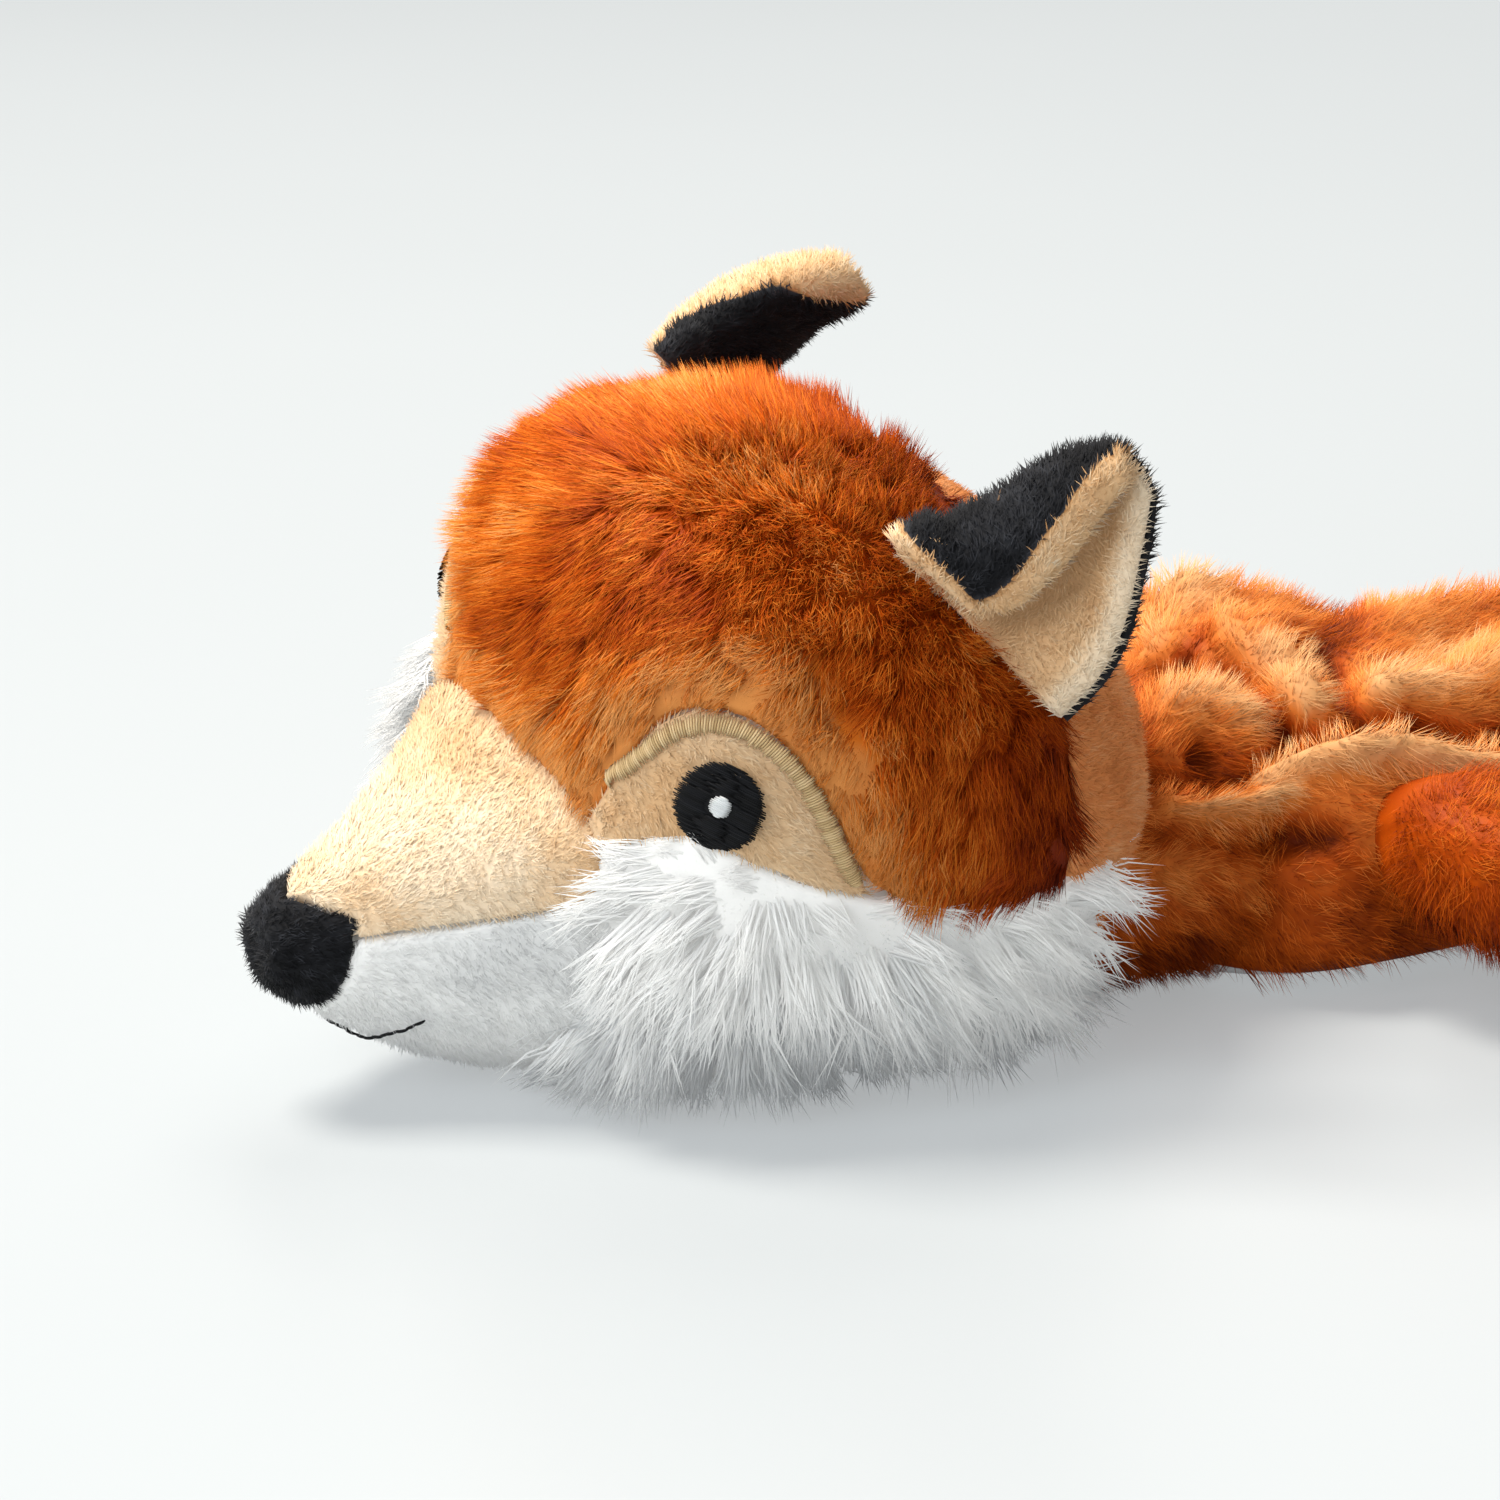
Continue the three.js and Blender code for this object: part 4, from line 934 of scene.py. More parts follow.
def sewMouth(side, s):
    places, out = embroidery[side]["mouth"]
    random = np.random.default_rng(13)
    count = len(places)
    run = unit(unit(np.gradient(places, axis=0)) + random.normal(0, 0.08, (count, 3)))
    reach = s["mouthStitch"] * mm * random.uniform(0.9, 1.2, count)
    places = places + out * random.normal(0.75, 0.08, (count, 1)) * mm
    fields = {"run": run, "out": out, "reach": reach, "tint": np.full(count, 0.4)}
    piece = sewThreads(f"{side}MouthStitches", flatThread, s["mouthThickness"], blackThread, places, fields)
    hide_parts(f"{side}_mouth_stitch")
    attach(piece, "head")


def eyeRows(s, random):
    # Rows of thread over a disc, with the white dot left open in the middle: across, from and to, in mm
    rows = {"black": [], "white": []}
    radius, hole = s["eyeRadius"], s["glintRadius"]
    for row in np.arange(-radius + 0.12, radius, s["eyePitch"]):
        half = math.sqrt(radius**2 - row**2)
        ends = [-half + random.uniform(-0.3, 0.35), half + random.uniform(-0.35, 0.3)]
        gap = math.sqrt(hole**2 - row**2) if abs(row) < hole else 0
        if gap:
            rows["white"].append((row, -gap - random.uniform(0, 0.2), gap + random.uniform(0, 0.2)))
        for low, high in [(ends[0], -gap), (gap, ends[1])] if gap else [tuple(ends)]:
            pieces = max(1, round((high - low) / s["eyeThread"]))
            cuts = np.linspace(low, high, pieces + 1)
            cuts[1:-1] += random.uniform(-0.8, 0.8, pieces - 1)
            rows["black"] += [(row, a - 0.15, b + 0.15) for a, b in zip(cuts, cuts[1:])]
    return {tone: np.array(found) for tone, found in rows.items()}


def sewEye(side, s):
    random = np.random.default_rng(12)
    centre, out = embroidery[side]["eye"][0], embroidery[side]["eyeOut"]
    across = np.array(view.right)
    if side == "right":
        across = outOfHead(across @ headAxes * (-1, 1, 1))
    across = unit(across - out * (across @ out))
    upward = np.cross(out, across) * sides[side]
    turn = math.radians(s["eyeTurn"])
    run = across * math.cos(turn) + upward * math.sin(turn)
    beside = np.cross(out, run)
    shift = (across * sides[side] * s["glintShift"][0] + upward * s["glintShift"][1]) * mm
    rows = eyeRows(s, random)

    def sewRows(rows, shift, lift, piece, node, material):
        middle = (rows[:, 1] + rows[:, 2]) / 2
        flat = centre + (run * middle[:, None] + beside * rows[:, :1]) * mm + shift
        feet = nearest(headCloth, flat)[0]
        dome = 0.5 * (1 - (middle**2 + rows[:, 0] ** 2) / s["eyeRadius"] ** 2)
        level = np.maximum((feet - centre) @ out, s["sunk"] * mm)
        places = flat + out * (level + (lift + dome) * mm)[:, None]
        count = len(rows)
        fields = {
            "run": np.tile(run, (count, 1)), "out": np.tile(out, (count, 1)),
            "reach": (rows[:, 2] - rows[:, 1]) * mm, "tint": random.uniform(0.2, 0.7, count),
        }
        piece = sewThreads(f"{side}{piece}", flatThread, s["threadThickness"], material, places, fields)
        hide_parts(f"{side}_{node}")
        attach(piece, "head")
        return piece

    threads = sewRows(rows["black"], 0, 0.95, "EyeThreads", "eye", blackThread)
    addPad(threads, centre, out, run, beside, s)
    sewRows(rows["white"], shift, 1.15, "EyeGlintThreads", "eye_glint", whiteThread)


def addPad(piece, centre, out, run, beside, s):
    # The thread below the rows of an eye, as one closed dome
    shape = bmesh.new()
    shape.from_mesh(piece.data)
    uv = shape.loops.layers.uv["OFBake"]
    rings, around = 6, 28
    radius = s["eyeRadius"] - 0.35
    grid = []
    for i in range(rings + 1):
        far = radius * i / rings
        ring = []
        for k in range(around if i else 1):
            angle = k / around * math.tau
            flat = centre + (run * math.cos(angle) + beside * math.sin(angle)) * far * mm
            level = max((np.array(headCloth.find_nearest(Vector(flat))[0]) - centre) @ out, s["sunk"] * mm)
            height = level + (0.85 + 0.5 * (1 - (far / radius) ** 2)) * mm if i < rings else level - 0.5 * mm
            ring.append(shape.verts.new(Vector(flat + out * height)))
        grid.append(ring)
    foot = shape.verts.new(Vector(centre - out * 0.8 * mm))
    faces = []
    for k in range(around):
        after = (k + 1) % around
        faces.append((grid[0][0], grid[1][k], grid[1][after]))
        for i in range(1, rings):
            faces.append((grid[i][k], grid[i + 1][k], grid[i + 1][after], grid[i][after]))
        faces.append((grid[rings][k], foot, grid[rings][after]))
    made = []
    for corners in faces:
        face = shape.faces.new(corners)
        face.smooth = True
        for n, loop in enumerate(face.loops):
            loop[uv].uv = (0.3 + 0.01 * n, 0.4 + 0.02 * (n % 2))
        made.append(face)
    bmesh.ops.recalc_face_normals(shape, faces=made)
    shape.to_mesh(piece.data)
    shape.free()


for side in sides:
    sewBrow(side, embroiderySettings)
    sewMouth(side, embroiderySettings)
    sewEye(side, embroiderySettings)
print("embroidery done")


def dressFilling():
    # The filling of the head, which the skins cover
    shape = bmesh.new()
    shape.from_mesh(frame["nodes"]["head_stuffing"].data)
    bmesh.ops.remove_doubles(shape, verts=shape.verts, dist=1e-6)
    shape.normal_update()
    for vertex in shape.verts:
        vertex.co -= vertex.normal * 0.5 * mm
    mesh = bpy.data.meshes.new("headFilling")
    shape.to_mesh(mesh)
    shape.free()
    mesh.materials.append(stuffingFibre)
    piece = addObject("headFilling", mesh)
    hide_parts("head_stuffing")
    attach(piece, "head")


dressFilling()
for node, shown in frame["nodes"].items():
    if "squeaker" in node:
        shown.data.materials.clear()
        shown.data.materials.append(reedPlastic if node.endswith("reed") else squeakerVinyl)
print("inside done")


# Ears: two layers of cloth over one bent sheet, in the axes of the head
earSettings = {
    "height": 30,  # mm, as all sizes below
    "origin": (33.732, -11.5222, 47.789),
    "along": (0.4673, 0.6235, -0.6267),
    "up": (0.1068, 0.6639, 0.7401),
    "out": (0.8776, -0.4128, 0.2437),
    # Rows from the base to the tip, each from the rear rim over the fold to the front rim
    "shape": [
        [(1.16, 0, 0), (0.85, 0, -0.01), (0.45, 0, -0.02), (0.02, 0, 0),
         (0.2, 0.05, 0.12), (0.47, 0.08, 0.15)],
        [(1.12, 0.24, 0.075), (0.83, 0.21, -0.03), (0.5, 0.21, -0.1), (0.11, 0.24, -0.02),
         (0.27, 0.23, 0.14), (0.55, 0.2, 0.19)],
        [(1.03, 0.455, 0.09), (0.78, 0.425, -0.045), (0.52, 0.42, -0.11), (0.22, 0.45, -0.03),
         (0.36, 0.42, 0.15), (0.57, 0.38, 0.19)],
        [(0.895, 0.67, 0.075), (0.71, 0.635, -0.03), (0.51, 0.64, -0.08), (0.27, 0.7, -0.02),
         (0.37, 0.65, 0.13), (0.56, 0.57, 0.17)],
        [(0.76, 0.865, 0.045), (0.65, 0.865, -0.015), (0.52, 0.87, -0.05), (0.36, 0.9, -0.02),
         (0.4, 0.86, 0.085), (0.53, 0.79, 0.135)],
        [(0.67, 0.98, 0.01), (0.61, 1, -0.01), (0.54, 1.02, -0.03), (0.46, 1.01, -0.01),
         (0.46, 0.98, 0.06), (0.53, 0.94, 0.1)],
    ],
    "columns": 56,
    "rows": 40,
    "bend": {"left": 0, "right": -24},  # degrees, from the base to the tip
    "layer": 1.25,
    "thinRim": 1.5,  # a layer thins over this way to its rim
    "sheetGap": 0.12,
    "puff": 0.35,
    "puffReach": 8,
    "foldShare": 0.6,  # columns beyond this share are folded over to the front
    "liningInset": 1.1,  # the back shows beyond the lining
    # How wide the tan rim is, from the base to the tip
    "rim": {"left": [3.0, 3.2, 4.0, 5.0, 5.6, 5.0, 3.5], "right": [13, 13, 13, 13, 13, 12, 10]},
    # Dents of the fold: row and column as shares, how wide each way, and how far up, as shares of the height
    "dents": [(0.23, 0.62, 0.055, 0.2, -0.1), (0.08, 0.62, 0.07, 0.2, 0.05)],
    "baseRim": {"left": 2, "right": -1},
    "sunk": (1.0, 2.2),  # the base goes down and in, to stand in the pile of the crown
    "sewn": 9,  # up from the base, over which an ear bends
    "pile": {
        "density": 5, "length": 1.7, "tilt": 0.5, "tintSpread": 0.07, "lockShade": 0.16, "lockSize": 1.8,
        "lockPull": 0.4,
    },
}


def gridNormals(grid):
    return unit(np.cross(np.gradient(grid, axis=0), np.gradient(grid, axis=1)))


def earSheet(side, s):
    table = np.array(s["shape"], float)
    lines = throughPoints(table.transpose(1, 0, 2), s["columns"]).transpose(1, 0, 2)
    grid = throughPoints(lines, s["rows"])
    rows, columns = np.linspace(0, 1, s["rows"])[:, None], np.linspace(0, 1, s["columns"])[None]
    for row, column, tall, wide, rise in s["dents"]:
        grid[:, :, 1] += rise * np.exp(-(((rows - row) / tall) ** 2) - ((columns - column) / wide) ** 2)
    x, y, z = grid[:, :, 0], grid[:, :, 1], grid[:, :, 2]
    angle = np.radians(s["bend"][side]) * y
    grid = np.stack([x, y * np.cos(angle) - z * np.sin(angle), y * np.sin(angle) + z * np.cos(angle)], 2)
    grid *= s["height"]
    grid[:, :, 1] -= s["sunk"][0] * (1 - rows) ** 3
    grid[:, :, 2] -= s["sunk"][1] * (1 - rows) ** 3
    return grid


def earLayer(grid, edge, way, s):
    # One layer of cloth on a side of the sheet, closed round its rim
    rows, columns = grid.shape[:2]
    normal = gridNormals(grid)
    thick = s["layer"] * (0.3 + 0.7 * np.sqrt(np.clip(edge / s["thinRim"], 0, 1)))
    puff = s["puff"] * np.sin(np.clip(edge / s["puffReach"], 0, 1) * np.pi / 2)
    inner = grid + normal * way * s["sheetGap"]
    outer = grid + normal * way * (s["sheetGap"] + thick + puff)[:, :, None]
    low = rows * columns
    faces = []
    for i in range(rows - 1):
        for k in range(columns - 1):
            a = i * columns + k
            faces.append((a, a + 1, a + columns + 1, a + columns))
            faces.append((low + a, low + a + columns, low + a + columns + 1, low + a + 1))
    rim = list(range(columns)) + [i * columns + columns - 1 for i in range(1, rows)]
    rim += [(rows - 1) * columns + k for k in range(columns - 2, -1, -1)]
    rim += [i * columns for i in range(rows - 2, 0, -1)]
    faces += [(a, low + a, low + b, b) for a, b in zip(rim, rim[1:] + rim[:1])]
    return np.concatenate([outer.reshape(-1, 3), inner.reshape(-1, 3)]), faces


def dressEar(side, part, s):
    grid = earSheet(side, s)
    mirror = (sides[side], 1, 1)
    rows, columns = grid.shape[:2]
    steps = np.linalg.norm(np.diff(grid, axis=1), axis=2)
    fromRear = np.concatenate([np.zeros((rows, 1)), np.cumsum(steps, 1)], 1)
    fromFront = fromRear[:, -1:] - fromRear
    rises = np.linalg.norm(np.diff(grid, axis=0), axis=2)
    fromTip = np.concatenate([np.cumsum(rises[::-1], 0)[::-1], np.zeros((1, columns))], 0)
    edge = np.minimum(np.minimum(fromRear, fromFront), fromTip)
    if part == "lining":
        # Slides the rim of the lining inwards, so that the back stands out beyond it
        inset = s["liningInset"]
        for row in range(rows):
            want = inset + np.linspace(0, 1, columns) * (fromRear[row, -1] - inset)
            grid[row] = np.stack([np.interp(want, fromRear[row], grid[row][:, k]) for k in range(3)], 1)
        grid[-2:] = grid[-4:-3] * 0.6 + grid[-2:] * 0.4
    vertices, faces = earLayer(grid, edge, 1 if part == "lining" else -1, s)
    placed = (vertices @ np.array([s["along"], s["up"], s["out"]]) + s["origin"]) * mm * mirror
    mesh = smoothMesh("ear", outOfHead(placed) + headPlace, faces)
    faceOutwards(mesh)
    piece = addObject(f"{side}Ear{part.capitalize()}", mesh)
    points, normals = pointsOf(mesh), normalsOf(mesh)
    seed = 30 if part == "lining" else 31
    lay = normals * 0.8 + np.array([0, 0.2, 0.45]) + wander(points, 7 * mm, seed) * 0.6
    cover = np.repeat([1.0, 0.0], rows * columns)
    patches = 0.5 + 0.3 * flowing(points, 9 * mm, seed) + 0.15 * flowing(points, 3 * mm, seed)
    if part == "lining":
        # Painted shade: the lining is darker inside the ear, and lighter near its rear rim and its tip
        bright = np.clip(1 - (fromRear - 2) / 4, 0, 1)
        bright = np.maximum(bright, 0.25 + 0.3 * np.clip(1 - fromTip / 9, 0, 1))
        tint = np.clip(0.2 + 0.75 * np.tile(bright.ravel(), 2) + 0.35 * (patches - 0.5), 0.05, 0.95)
    else:
        wide = np.interp(np.linspace(0, 1, rows), np.linspace(0, 1, len(s["rim"][side])), s["rim"][side])
        folded = np.linspace(0, 1, columns)[None] > s["foldShare"]
        fromBase = np.concatenate([np.zeros((1, columns)), np.cumsum(rises, 0)], 0)
        band = np.where(folded, s["baseRim"][side] - fromBase, -1)
        tan = np.clip(np.maximum(wide[:, None] - fromFront, band) / 0.5, -1, 1) * 0.5 + 0.5
        tan = np.tile(tan.ravel(), 2)
        tint = tan * (0.62 + 0.3 * patches) + (1 - tan) * (0.04 + 0.34 * patches)
    prepareSkin(piece, lay, lay, cover, 1 + 0.2 * flowing(points, 8 * mm, seed), tint)
    growPile(piece, shortStrands, tanPile if part == "lining" else earPile, {**s["pile"], "seed": seed})
    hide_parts(f"{side}_ear_{part}")
    # The base stays sewn to the head
    foot = (np.array(s["origin"]) + np.array(s["along"]) * s["height"] * 0.55) * mirror
    tall = np.array(s["up"]) * s["sewn"] * mirror
    start = outOfHead(foot * mm) + headPlace
    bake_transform(piece, "head", f"{side}_ear", start=tuple(start), end=tuple(start + outOfHead(tall * mm)))
    "tan_plush" if part == "lining" else "black_plush"


for side in sides:
    for part in ("lining", "back"):
        dressEar(side, part, earSettings)
print("ears done")


# Body, neck, legs and tail are lofts along a line
def smoothKeys(keys, places, passes):
    keys = np.array(keys, float)
    values = np.stack([np.interp(places, keys[:, 0], keys[:, k]) for k in range(1, keys.shape[1])], 1)
    for _ in range(passes):
        values[1:-1] = (values[:-2] + 2 * values[1:-1] + values[2:]) / 4
    return values


def loftMesh(name, rings):
    count, around = rings.shape[:2]
    vertices = [p for ring in rings for p in ring]
    faces = []
    for i in range(count - 1):
        for k in range(around):
            a, b = i * around + k, i * around + (k + 1) % around
            faces.append((a, b, b + around, a + around))
    for ring in (0, count - 1):
        middle = len(vertices)
        vertices.append(rings[ring].mean(0))
        for k in range(around):
            a, b = ring * around + k, ring * around + (k + 1) % around
            faces.append((a, b, middle) if ring else (b, a, middle))
    mesh = smoothMesh(name, vertices, faces)
    faceOutwards(mesh)
    return addObject(name, mesh)


def stationsOf(s, passes):
    # Places along a loft, its half width and height at each, and the angles round it
    places = np.linspace(s["sections"][0][0], s["sections"][-1][0], s["stations"])
    angles = (np.arange(s["sides"]) + 0.5) / s["sides"] * math.tau
    return places, smoothKeys(s["sections"], places, passes), angles


def rounded(value, power):
    return np.sign(value) * np.abs(value) ** power


def tubeRings(s):
    places, sections, angles = stationsOf(s, 2)
    across, level = rounded(np.cos(angles), s["boxy"]), rounded(np.sin(angles), s["boxy"])
    return np.array([
        np.stack([wide * across, np.full_like(angles, y), high * level], 1)
        for y, (wide, high) in zip(places, sections)
    ])


limbPile = {
    "strands": fineStrands, "tilt": 0.3, "lockSize": 4, "lockPull": 0.5, "lockShade": 0.2,
    "tintSpread": 0.12, "tint": 0.5, "shadeHeight": 25, "fill": 0.4,
}


def dressLimb(piece, s, comb, cover):
    points, normals = pointsOf(piece.data), normalsOf(piece.data)
    seed = s["seed"]
    comb = unit(alongCloth(np.tile(np.array(comb, float), (len(points), 1)), normals))
    drift = wander(points, 14 * mm, seed) * 0.6 + wander(points, 5 * mm, seed + 40) * 0.35
    lay = normals * s["lift"] + comb * 0.5 + drift * 0.8
    bend = comb * 0.5 + np.array([0, 0, -0.6]) + wander(points, 9 * mm, seed + 60)
    long = 1 + 0.2 * flowing(points, 12 * mm, seed)
    # Painted shade: darker low on the sides
    low = 0.5 * np.clip(1 - points[:, 2] / (s["shadeHeight"] * mm), 0, 1)
    tint = s["tint"] - low + 0.25 * flowing(points, 20 * mm, seed) + 0.16 * flowing(points, 7 * mm, seed + 3)
    prepareSkin(piece, lay, bend, cover, long, tint)
    growPile(piece, s["strands"], s["material"], s)


# Front and hind body in one
bodySettings = {
    # Place along it, half width and height, in mm
    "sections": [
        (-60, 24, 28), (-57, 31, 36), (-52, 36, 42), (-44, 38.5, 46.5), (-32, 39, 49), (-14, 39, 45.5),
        (5, 38.2, 41), (28, 38, 39.5), (45, 37, 38), (60, 35.5, 36), (73, 35.5, 35), (86, 37.5, 35.5),
        (96, 40, 36.5), (112, 42, 38), (133, 42, 38), (150, 41, 36), (158, 38, 34), (163, 34, 31),
        (166, 26, 24),
    ],
    "seamHeight": 7,
    "stations": 150,
    "sides": 120,
    "boxy": 0.7,
    "foldDepth": 5.5,
    "foldCount": 3,
    "foldWave": 17,
    "lean": 5,
    "lumps": 1.2,
    "creaseShading": 0.16,  # painted shade in a fold and painted light on a ridge: the pile is that much darker in a fold and lighter on a ridge, for each mm
    "creaseDepth": 1.3,
    # Folds as the photograph shows them: pixels along each, its rise in mm and its width in pixels
    "creases": [
        ([(1125, 575), (1160, 565), (1185, 585)], 3.5, 34),
        ([(1340, 625), (1325, 590)], -2.5, 24),
        ([(1170, 665), (1182, 650), (1203, 634)], -2.5, 12),
        ([(1160, 640), (1216, 625), (1262, 660), (1275, 690)], 1.5, 16),
        ([(1312, 640), (1330, 668), (1348, 700)], -3.5, 16),
        ([(1150, 684), (1216, 686), (1262, 702), (1282, 732)], -3.5, 12),
        ([(1165, 712), (1205, 712), (1245, 728)], 3.0, 16),
        ([(1285, 660), (1302, 690), (1318, 715)], 2.5, 18),
        ([(1353, 702), (1398, 684), (1500, 668)], 2.0, 20),
        ([(1275, 750), (1353, 722), (1407, 720), (1471, 738), (1560, 734)], -5.0, 14),
        ([(1198, 750), (1210, 762)], -2.5, 12),
        ([(1140, 775), (1198, 786), (1248, 781), (1275, 757)], -3.5, 12),
        ([(1262, 782), (1334, 752), (1398, 748), (1466, 768), (1560, 775)], 3.0, 18),
        ([(1170, 806), (1240, 802), (1290, 800)], 2.0, 14),
        ([(1150, 835), (1250, 845), (1330, 838)], -2.0, 18),
    ],
}


def toPixels(points):
    # Where some points show in the photograph
    offsets = points - np.array(view.place)
    right, high, deep = (offsets @ np.array(axis) for axis in (view.right, view.up, -view.back))
    return np.stack([view.middle + view.focal * right / deep, view.middle - view.focal * high / deep], -1)


def gapToLine(pixels, line):
    line = np.array(line, float)
    best = np.full(len(pixels), np.inf)
    for a, b in zip(line, line[1:]):
        t = np.clip((pixels - a) @ (b - a) / ((b - a) @ (b - a)), 0, 1)
        best = np.minimum(best, np.linalg.norm(pixels - (a + t[:, None] * (b - a)), axis=1))
    return best


def pressCreases(mesh, s):
    # Presses the folds in, and gives them painted shade and light: darker in a fold, lighter on a ridge
    points, normals = pointsOf(mesh), normalsOf(mesh)
    seen = np.clip(normals @ np.array(view.back) * 2 + 0.6, 0, 1)
    pixels = toPixels(points)
    rise = np.zeros(len(points))
    for line, height, wide in s["creases"]:
        rise += height * np.exp(-((gapToLine(pixels, line) / wide) ** 2))
    rise *= s["creaseDepth"] * seen * np.clip((points[:, 2] / mm - 6) / 8, 0, 1)
    movePoints(mesh, points + normals * rise[:, None] * mm)
    return 0.5 + s["creaseShading"] * rise


def bodyRings(s):
    places, sections, angles = stationsOf(s, 3)
    across, level = rounded(np.cos(angles), s["boxy"]), rounded(np.sin(angles), s["boxy"])
    seam = s["seamHeight"] * 2
    over = np.sin(angles) > 0
    rings = []
    for y, (wide, high) in zip(places, sections):
        wave = math.sin(y / s["foldWave"])
        valley = (1 - np.cos(math.pi * (s["foldCount"] * (across + 1) + wave))) / 2
        sunk = s["foldDepth"] * valley * (1 - across**2) + s["lean"] * across
        z = np.where(over, seam + (high - seam) * level - sunk * np.sin(angles), seam + seam * level)
        x = across * wide
        lump = np.array([
            noise.noise(Vector((a / 20, y / 30, 3.7))) + 0.6 * noise.noise(Vector((a / 9, y / 14, 8.1)))
            for a in x
        ])
        z = z + np.where(over, s["lumps"] * lump * np.sin(angles), 0)
        rings.append(np.stack([x, np.full_like(x, y), np.maximum(z, 0.0)], 1))
    return np.array(rings) * mm


def splitBody(name, rings, height, above):
    # Keeps the part of the body above or below a height, closed
    piece = loftMesh(name, rings)
    shape = bmesh.new()
    shape.from_mesh(piece.data)
    cut = bmesh.ops.bisect_plane(
        shape, geom=list(shape.verts) + list(shape.edges) + list(shape.faces), dist=1e-6,
        plane_co=(0, 0, height * mm), plane_no=(0, 0, 1), clear_outer=not above, clear_inner=above,
    )
    bmesh.ops.holes_fill(shape, edges=[e for e in cut["geom_cut"] if isinstance(e, bmesh.types.BMEdge)])
    bmesh.ops.triangulate(shape, faces=[f for f in shape.faces if len(f.verts) > 4])
    bmesh.ops.recalc_face_normals(shape, faces=shape.faces)
    shape.to_mesh(piece.data)
    shape.free()
    return piece


bodyPieces = {
    "backPelt": {
        **limbPile, "above": True, "cut": 3.7, "material": amberPile, "slot": "amber_plush",
        "nodes": ("body_pelt", "rump_pelt"), "density": 1.9, "length": 4.3, "lift": 0.8, "seed": 50,
    },
    "bellyCloth": {
        **limbPile, "above": False, "cut": 3.4, "material": whitePile, "slot": "white_plush",
        "nodes": ("body_belly", "rump_belly"), "density": 0.9, "length": 3.5, "lift": 0.7, "seed": 51,
    },
}
rings = bodyRings(bodySettings)
for name, s in bodyPieces.items():
    piece = splitBody(name, rings, s["cut"], s["above"])
    tint = pressCreases(piece.data, bodySettings)
    upright = normalsOf(piece.data)[:, 2]
    cover = upright > -0.7 if s["above"] else np.abs(upright) < 0.7
    dressLimb(piece, {**s, "tint": tint}, (0, 1, -0.2), cover.astype(float))
    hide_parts(*s["nodes"])
    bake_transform(piece, "torso", "rump", start=(0, 0.056, 0.018), end=(0, 0.09, 0.018))
print("body done")


# Neck: from inside the body to inside the head
neckSettings = {
    **limbPile,
    "sections": [
        (-95, 20, 17), (-88, 24, 19), (-78, 27, 20.5), (-66, 28.5, 21), (-56, 28.5, 20.5), (-44, 25, 18),
        (-40, 15, 12),
    ],
    "middle": 21,
    "sides": 64,
    "stations": 50,
    "boxy": 0.85,
    "shown": (-94, -50),  # mm, the pile grows between these
    "material": amberPile, "slot": "amber_plush", "density": 3.4, "length": 4.2, "lift": 0.8, "seed": 52,
}


def dressNeck(s):
    neck = loftMesh("neckPelt", (tubeRings(s) + (0, 0, s["middle"])) * mm)
    tint = pressCreases(neck.data, bodySettings) - 0.1
    places = pointsOf(neck.data)[:, 1] / mm
    cover = (places > s["shown"][0]) & (places < s["shown"][1])
    dressLimb(neck, {**s, "tint": tint}, (0, 1, -0.2), cover.astype(float))
    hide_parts("neck")
    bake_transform(neck, "neck", "head", start=(0, -0.060, 0.021), end=(0, -0.082, 0.021))


dressNeck(neckSettings)
print("neck done")


# Legs and paws, from the hinge line outwards
legSettings = {"slope": 7, "sides": 48, "stations": 44, "boxy": 0.8, "pileFrom": 42}
legPieces = {
    "Leg": {
        **limbPile, **legSettings, "material": rustPile, "slot": "rust_plush", "density": 2.2, "length": 4.5,
        "lift": 0.7, "sections": [
            (-16, 8, 7), (-12, 11.5, 9.5), (-4, 15.2, 11.2), (10, 16.8, 11.6), (23, 16.7, 11.5),
            (44, 15.6, 10.8), (47, 13, 9),
        ],
    },
    "Paw": {
        **limbPile, **legSettings, "material": blackPile, "slot": "black_plush", "density": 2, "length": 3.0,
        "lift": 0.8, "sections": [
            (45.5, 12, 8.5), (48, 15, 10.3), (52, 16, 11), (58.5, 16.7, 11.5), (66.6, 14.3, 9.7),
            (71.5, 9, 6), (73.2, 4, 3),
        ],
    },
}
legPlaces = {
    "Fore": {
        "base": 0, "place": -28, "height": 24, "turn": 22, "reach": 50.2552, "parent": "torso",
        "seeds": {"leftLeg": 70, "leftPaw": 71, "rightLeg": 72, "rightPaw": 73},
    },
    "Hind": {
        "base": 73.3, "place": 61, "height": 21, "turn": 36, "reach": 53.5244, "parent": "rump",
        "seeds": {"leftLeg": 74, "leftPaw": 75, "rightLeg": 76, "rightPaw": 60},
    },
}


def legRings(s, place, way):
    rings = tubeRings(s)
    rings[:, :, 0] -= rings[:, :, 1] * math.tan(math.radians(place["turn"]))
    turn = Matrix.Rotation(math.radians(-90), 3, "Z") @ Matrix.Rotation(math.radians(-s["slope"]), 3, "X")
    rings = rings @ np.array(turn).T + (place["reach"], place["base"] + place["place"], place["height"])
    return rings * (way, 1, 1)


def dressLeg(side, end, part, s):
    way, place, node = sides[side], legPlaces[end], f"{side}_{end.lower()}"
    piece = loftMesh(f"{side}{end}{part}", legRings(s, place, way) * mm)
    cover = (np.abs(pointsOf(piece.data)[:, 0]) > s["pileFrom"] * mm).astype(float)
    dressLimb(piece, {**s, "seed": place["seeds"][f"{side}{part}"]}, (way, 0.35, -0.15), cover)
    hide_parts(f"{node}_{part.lower()}")
    if part == "Leg":
        start, stop = (((place["reach"] + far) * way * mm, 0, place["height"] * mm) for far in (-12, 8))
        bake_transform(piece, place["parent"], f"{node}leg", start=start, end=stop)
    else:
        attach(piece, f"{node}leg")


for end in legPlaces:
    for side in sides:
        for part, s in legPieces.items():
            dressLeg(side, end, part, s)
print("legs done")


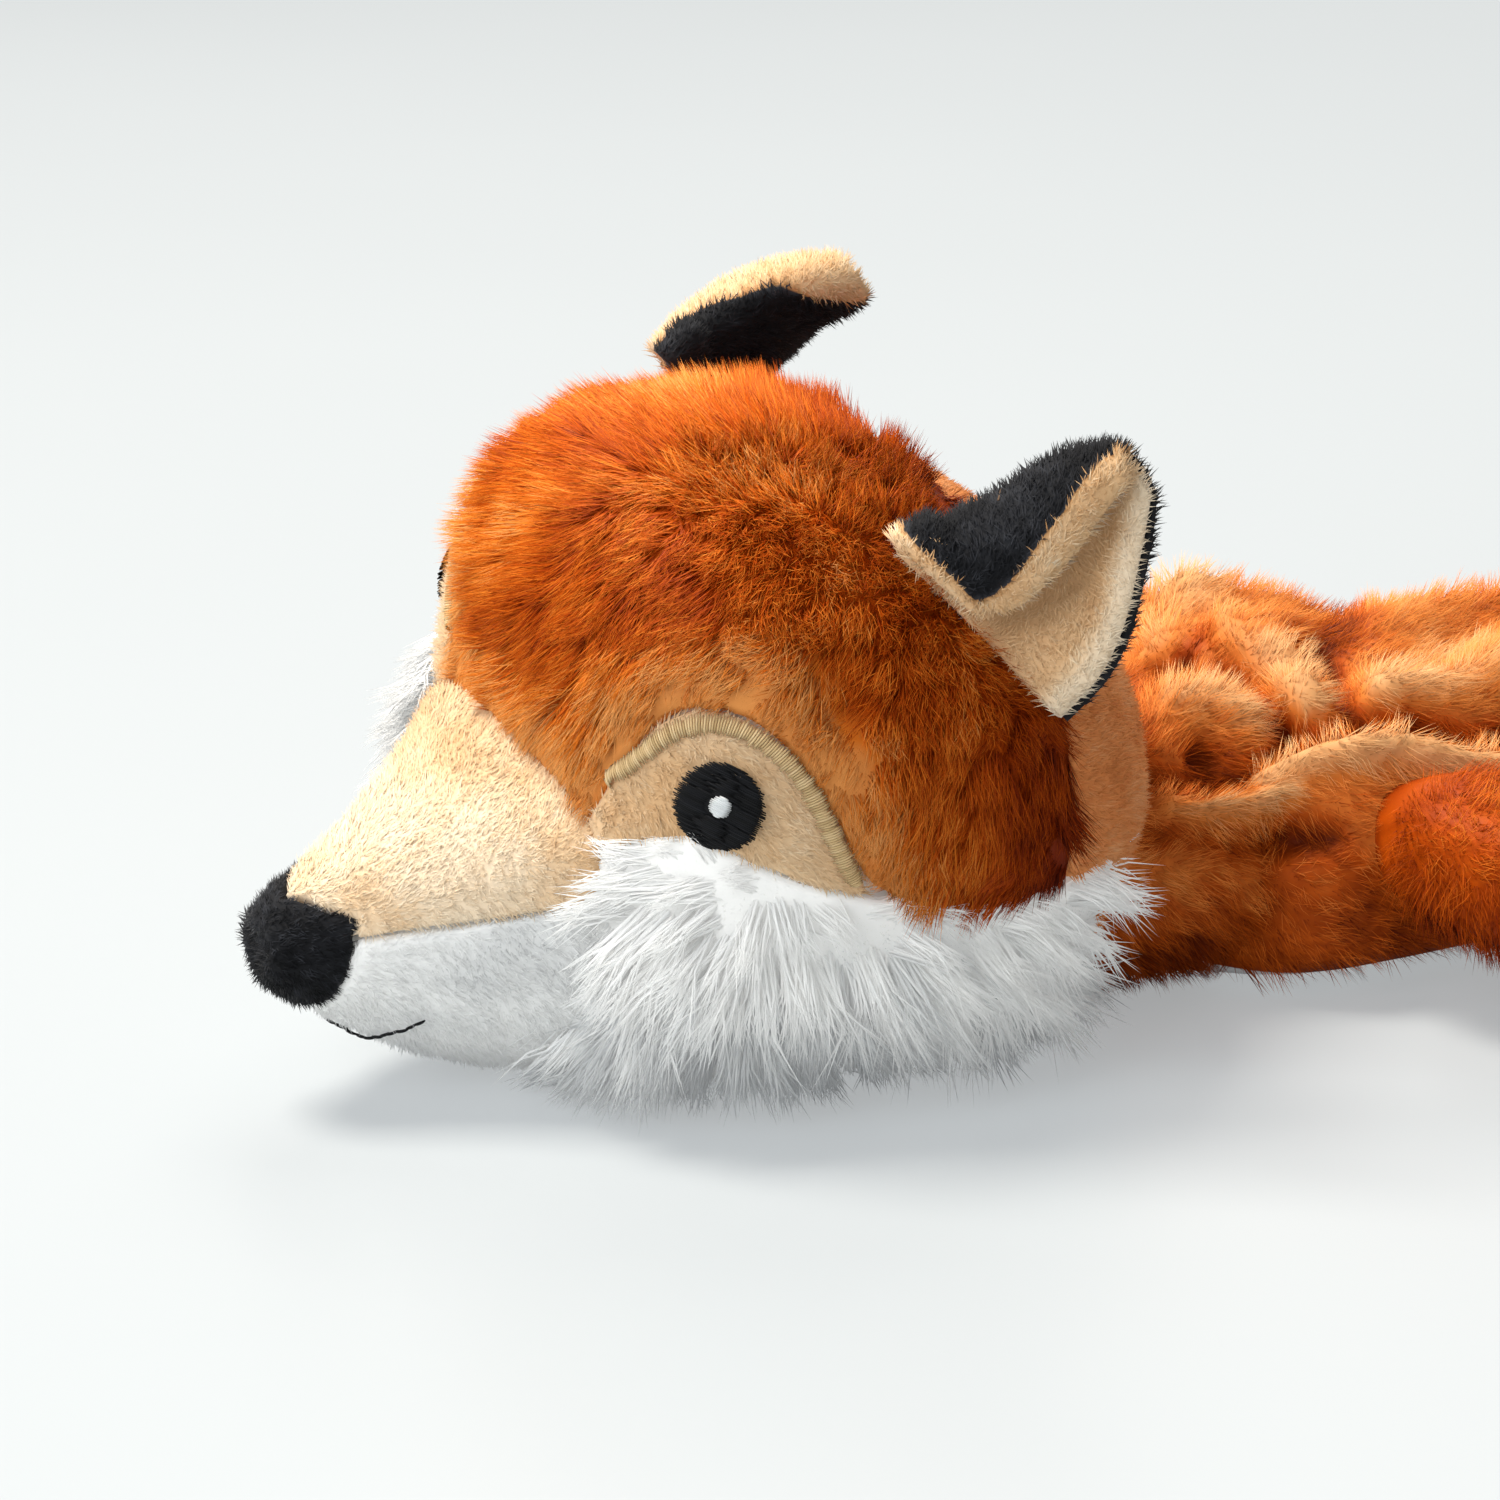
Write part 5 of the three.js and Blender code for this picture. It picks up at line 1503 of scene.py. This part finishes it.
# Tail and its tip
tailSettings = {
    **limbPile, "middle": 12, "sides": 56, "stations": 60, "boxy": 0.85, "length": 8, "lift": 0.6,
}
tailPieces = {
    "tailBrush": {
        **tailSettings, "material": amberPile, "slot": "amber_plush", "node": "tail",
        "bodies": ("rump", "tail"), "span": (0.160, 0.188), "density": 1.5, "seed": 80, "tint": 0.42,
        "sections": [
            (155, 8, 8), (160, 11, 9.5), (168, 12.5, 10.5), (176, 13, 11), (190, 15.5, 11.4),
            (204, 18.5, 11.8), (226, 22, 12.3), (259, 26, 12.5), (283, 25.2, 11.9), (294, 23, 10.8),
            (297, 20, 9),
        ],
    },
    "tailTipBrush": {
        **tailSettings, "material": whitePile, "slot": "white_plush", "node": "tail_tip",
        "bodies": ("tail", "tail_tip"), "span": (0.296, 0.316), "density": 1.9, "seed": 81, "sections": [
            (294, 17, 8.5), (298, 22, 10), (305, 22.9, 10.2), (324, 22.4, 9.8), (340, 18.7, 8.8),
            (355, 13, 6.6), (364, 7, 4), (368.5, 3, 2),
        ],
    },
}
for name, s in tailPieces.items():
    rings = tubeRings(s) + (0, 0, s["middle"])
    rings[:, :, 2] = np.maximum(rings[:, :, 2], 0)
    piece = loftMesh(name, rings * mm)
    dressLimb(piece, s, (0, 1, -0.1), np.ones(len(piece.data.vertices)))
    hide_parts(s["node"])
    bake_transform(piece, *s["bodies"], start=(0, s["span"][0], 0.012), end=(0, s["span"][1], 0.012))
print("tail done")


# Floor and light
studioSettings = {
    "worldColour": colour("f5f8f9"),
    "worldStrength": 0.43,
    "floorPaint": colours({0: "adb4b8", 1: "b4bbbf"}),
    "floorSide": 8,  # m, from the middle out
    "floorDrop": 0.2 * mm,  # below the part
    "floorGlow": 0.4,  # share of the floor's look that is even light
    "floorBright": 0.96,
    "aim": (0, -0.08, 0.03),
    "lamps": [
        # name, place, size, watts, colour
        ("key", (-0.42, -0.62, 1.45), 0.6, 35, "fff6ea"),
        ("front", (0.55, -1.5, 0.9), 1.0, 17, "fbfdff"),
        ("rim", (-1.0, 0.75, 1.5), 1.2, 20, "fff8ee"),
    ],
}


def makeFloor(s):
    material, graph = newMaterial("floor_paint")
    place = graph.node("ShaderNodeTexCoord", output="Object")
    cloud = graph.node("ShaderNodeTexNoise", {"Vector": place, "Scale": 2.5, "Detail": 3.0})
    tone = graph.node("ShaderNodeValToRGB", {0: cloud}, stops=s["floorPaint"])
    values = {"Base Color": tone, "Roughness": 0.35, "Specular IOR Level": 0.3}
    paint = graph.node("ShaderNodeBsdfPrincipled", values)
    glow = graph.node("ShaderNodeEmission", {"Color": s["worldColour"], "Strength": s["floorBright"]})
    seen = graph.node("ShaderNodeLightPath", output="Is Camera Ray")
    mixed = graph.node("ShaderNodeMixShader", {0: seen * s["floorGlow"], 1: paint, 2: glow})
    graph.node("ShaderNodeOutputMaterial", {"Surface": mixed})
    mesh = bpy.data.meshes.new("floor")
    far = s["floorSide"]
    mesh.from_pydata([(-far, -far, 0), (far, -far, 0), (far, far, 0), (-far, far, 0)], [], [(0, 1, 2, 3)])
    floor = addObject("floor", mesh)
    mesh.materials.append(material)
    floor.location.z = -s["floorDrop"]


def makeLight(s):
    world = bpy.data.worlds.new("studio")
    scene.world = world
    world.use_nodes = True
    world.node_tree.nodes.clear()
    graph = Graph(world.node_tree)
    seen = graph.node("ShaderNodeLightPath", output="Is Camera Ray")
    strength = seen * (1 - s["worldStrength"]) + s["worldStrength"]
    light = graph.node("ShaderNodeBackground", {"Color": s["worldColour"], "Strength": strength})
    graph.node("ShaderNodeOutputWorld", {"Surface": light})
    for name, spot, size, watts, tone in s["lamps"]:
        lamp = bpy.data.lights.new(name, "AREA")
        lamp.energy, lamp.size, lamp.color = watts, size, colour(tone)[:3]
        made = addObject(name, lamp)
        made.location = spot
        made.rotation_euler = (Vector(s["aim"]) - Vector(spot)).to_track_quat("-Z", "Y").to_euler()


makeFloor(studioSettings)
makeLight(studioSettings)
print("studio done")

meshes = {o.name: o.data for o in scene.objects if o.type == "MESH"}
counts = {name: sum(len(p.vertices) - 2 for p in mesh.polygons) for name, mesh in meshes.items()}
print("triangles:", sum(counts.values()), {name: count for name, count in counts.items() if count > 20000})
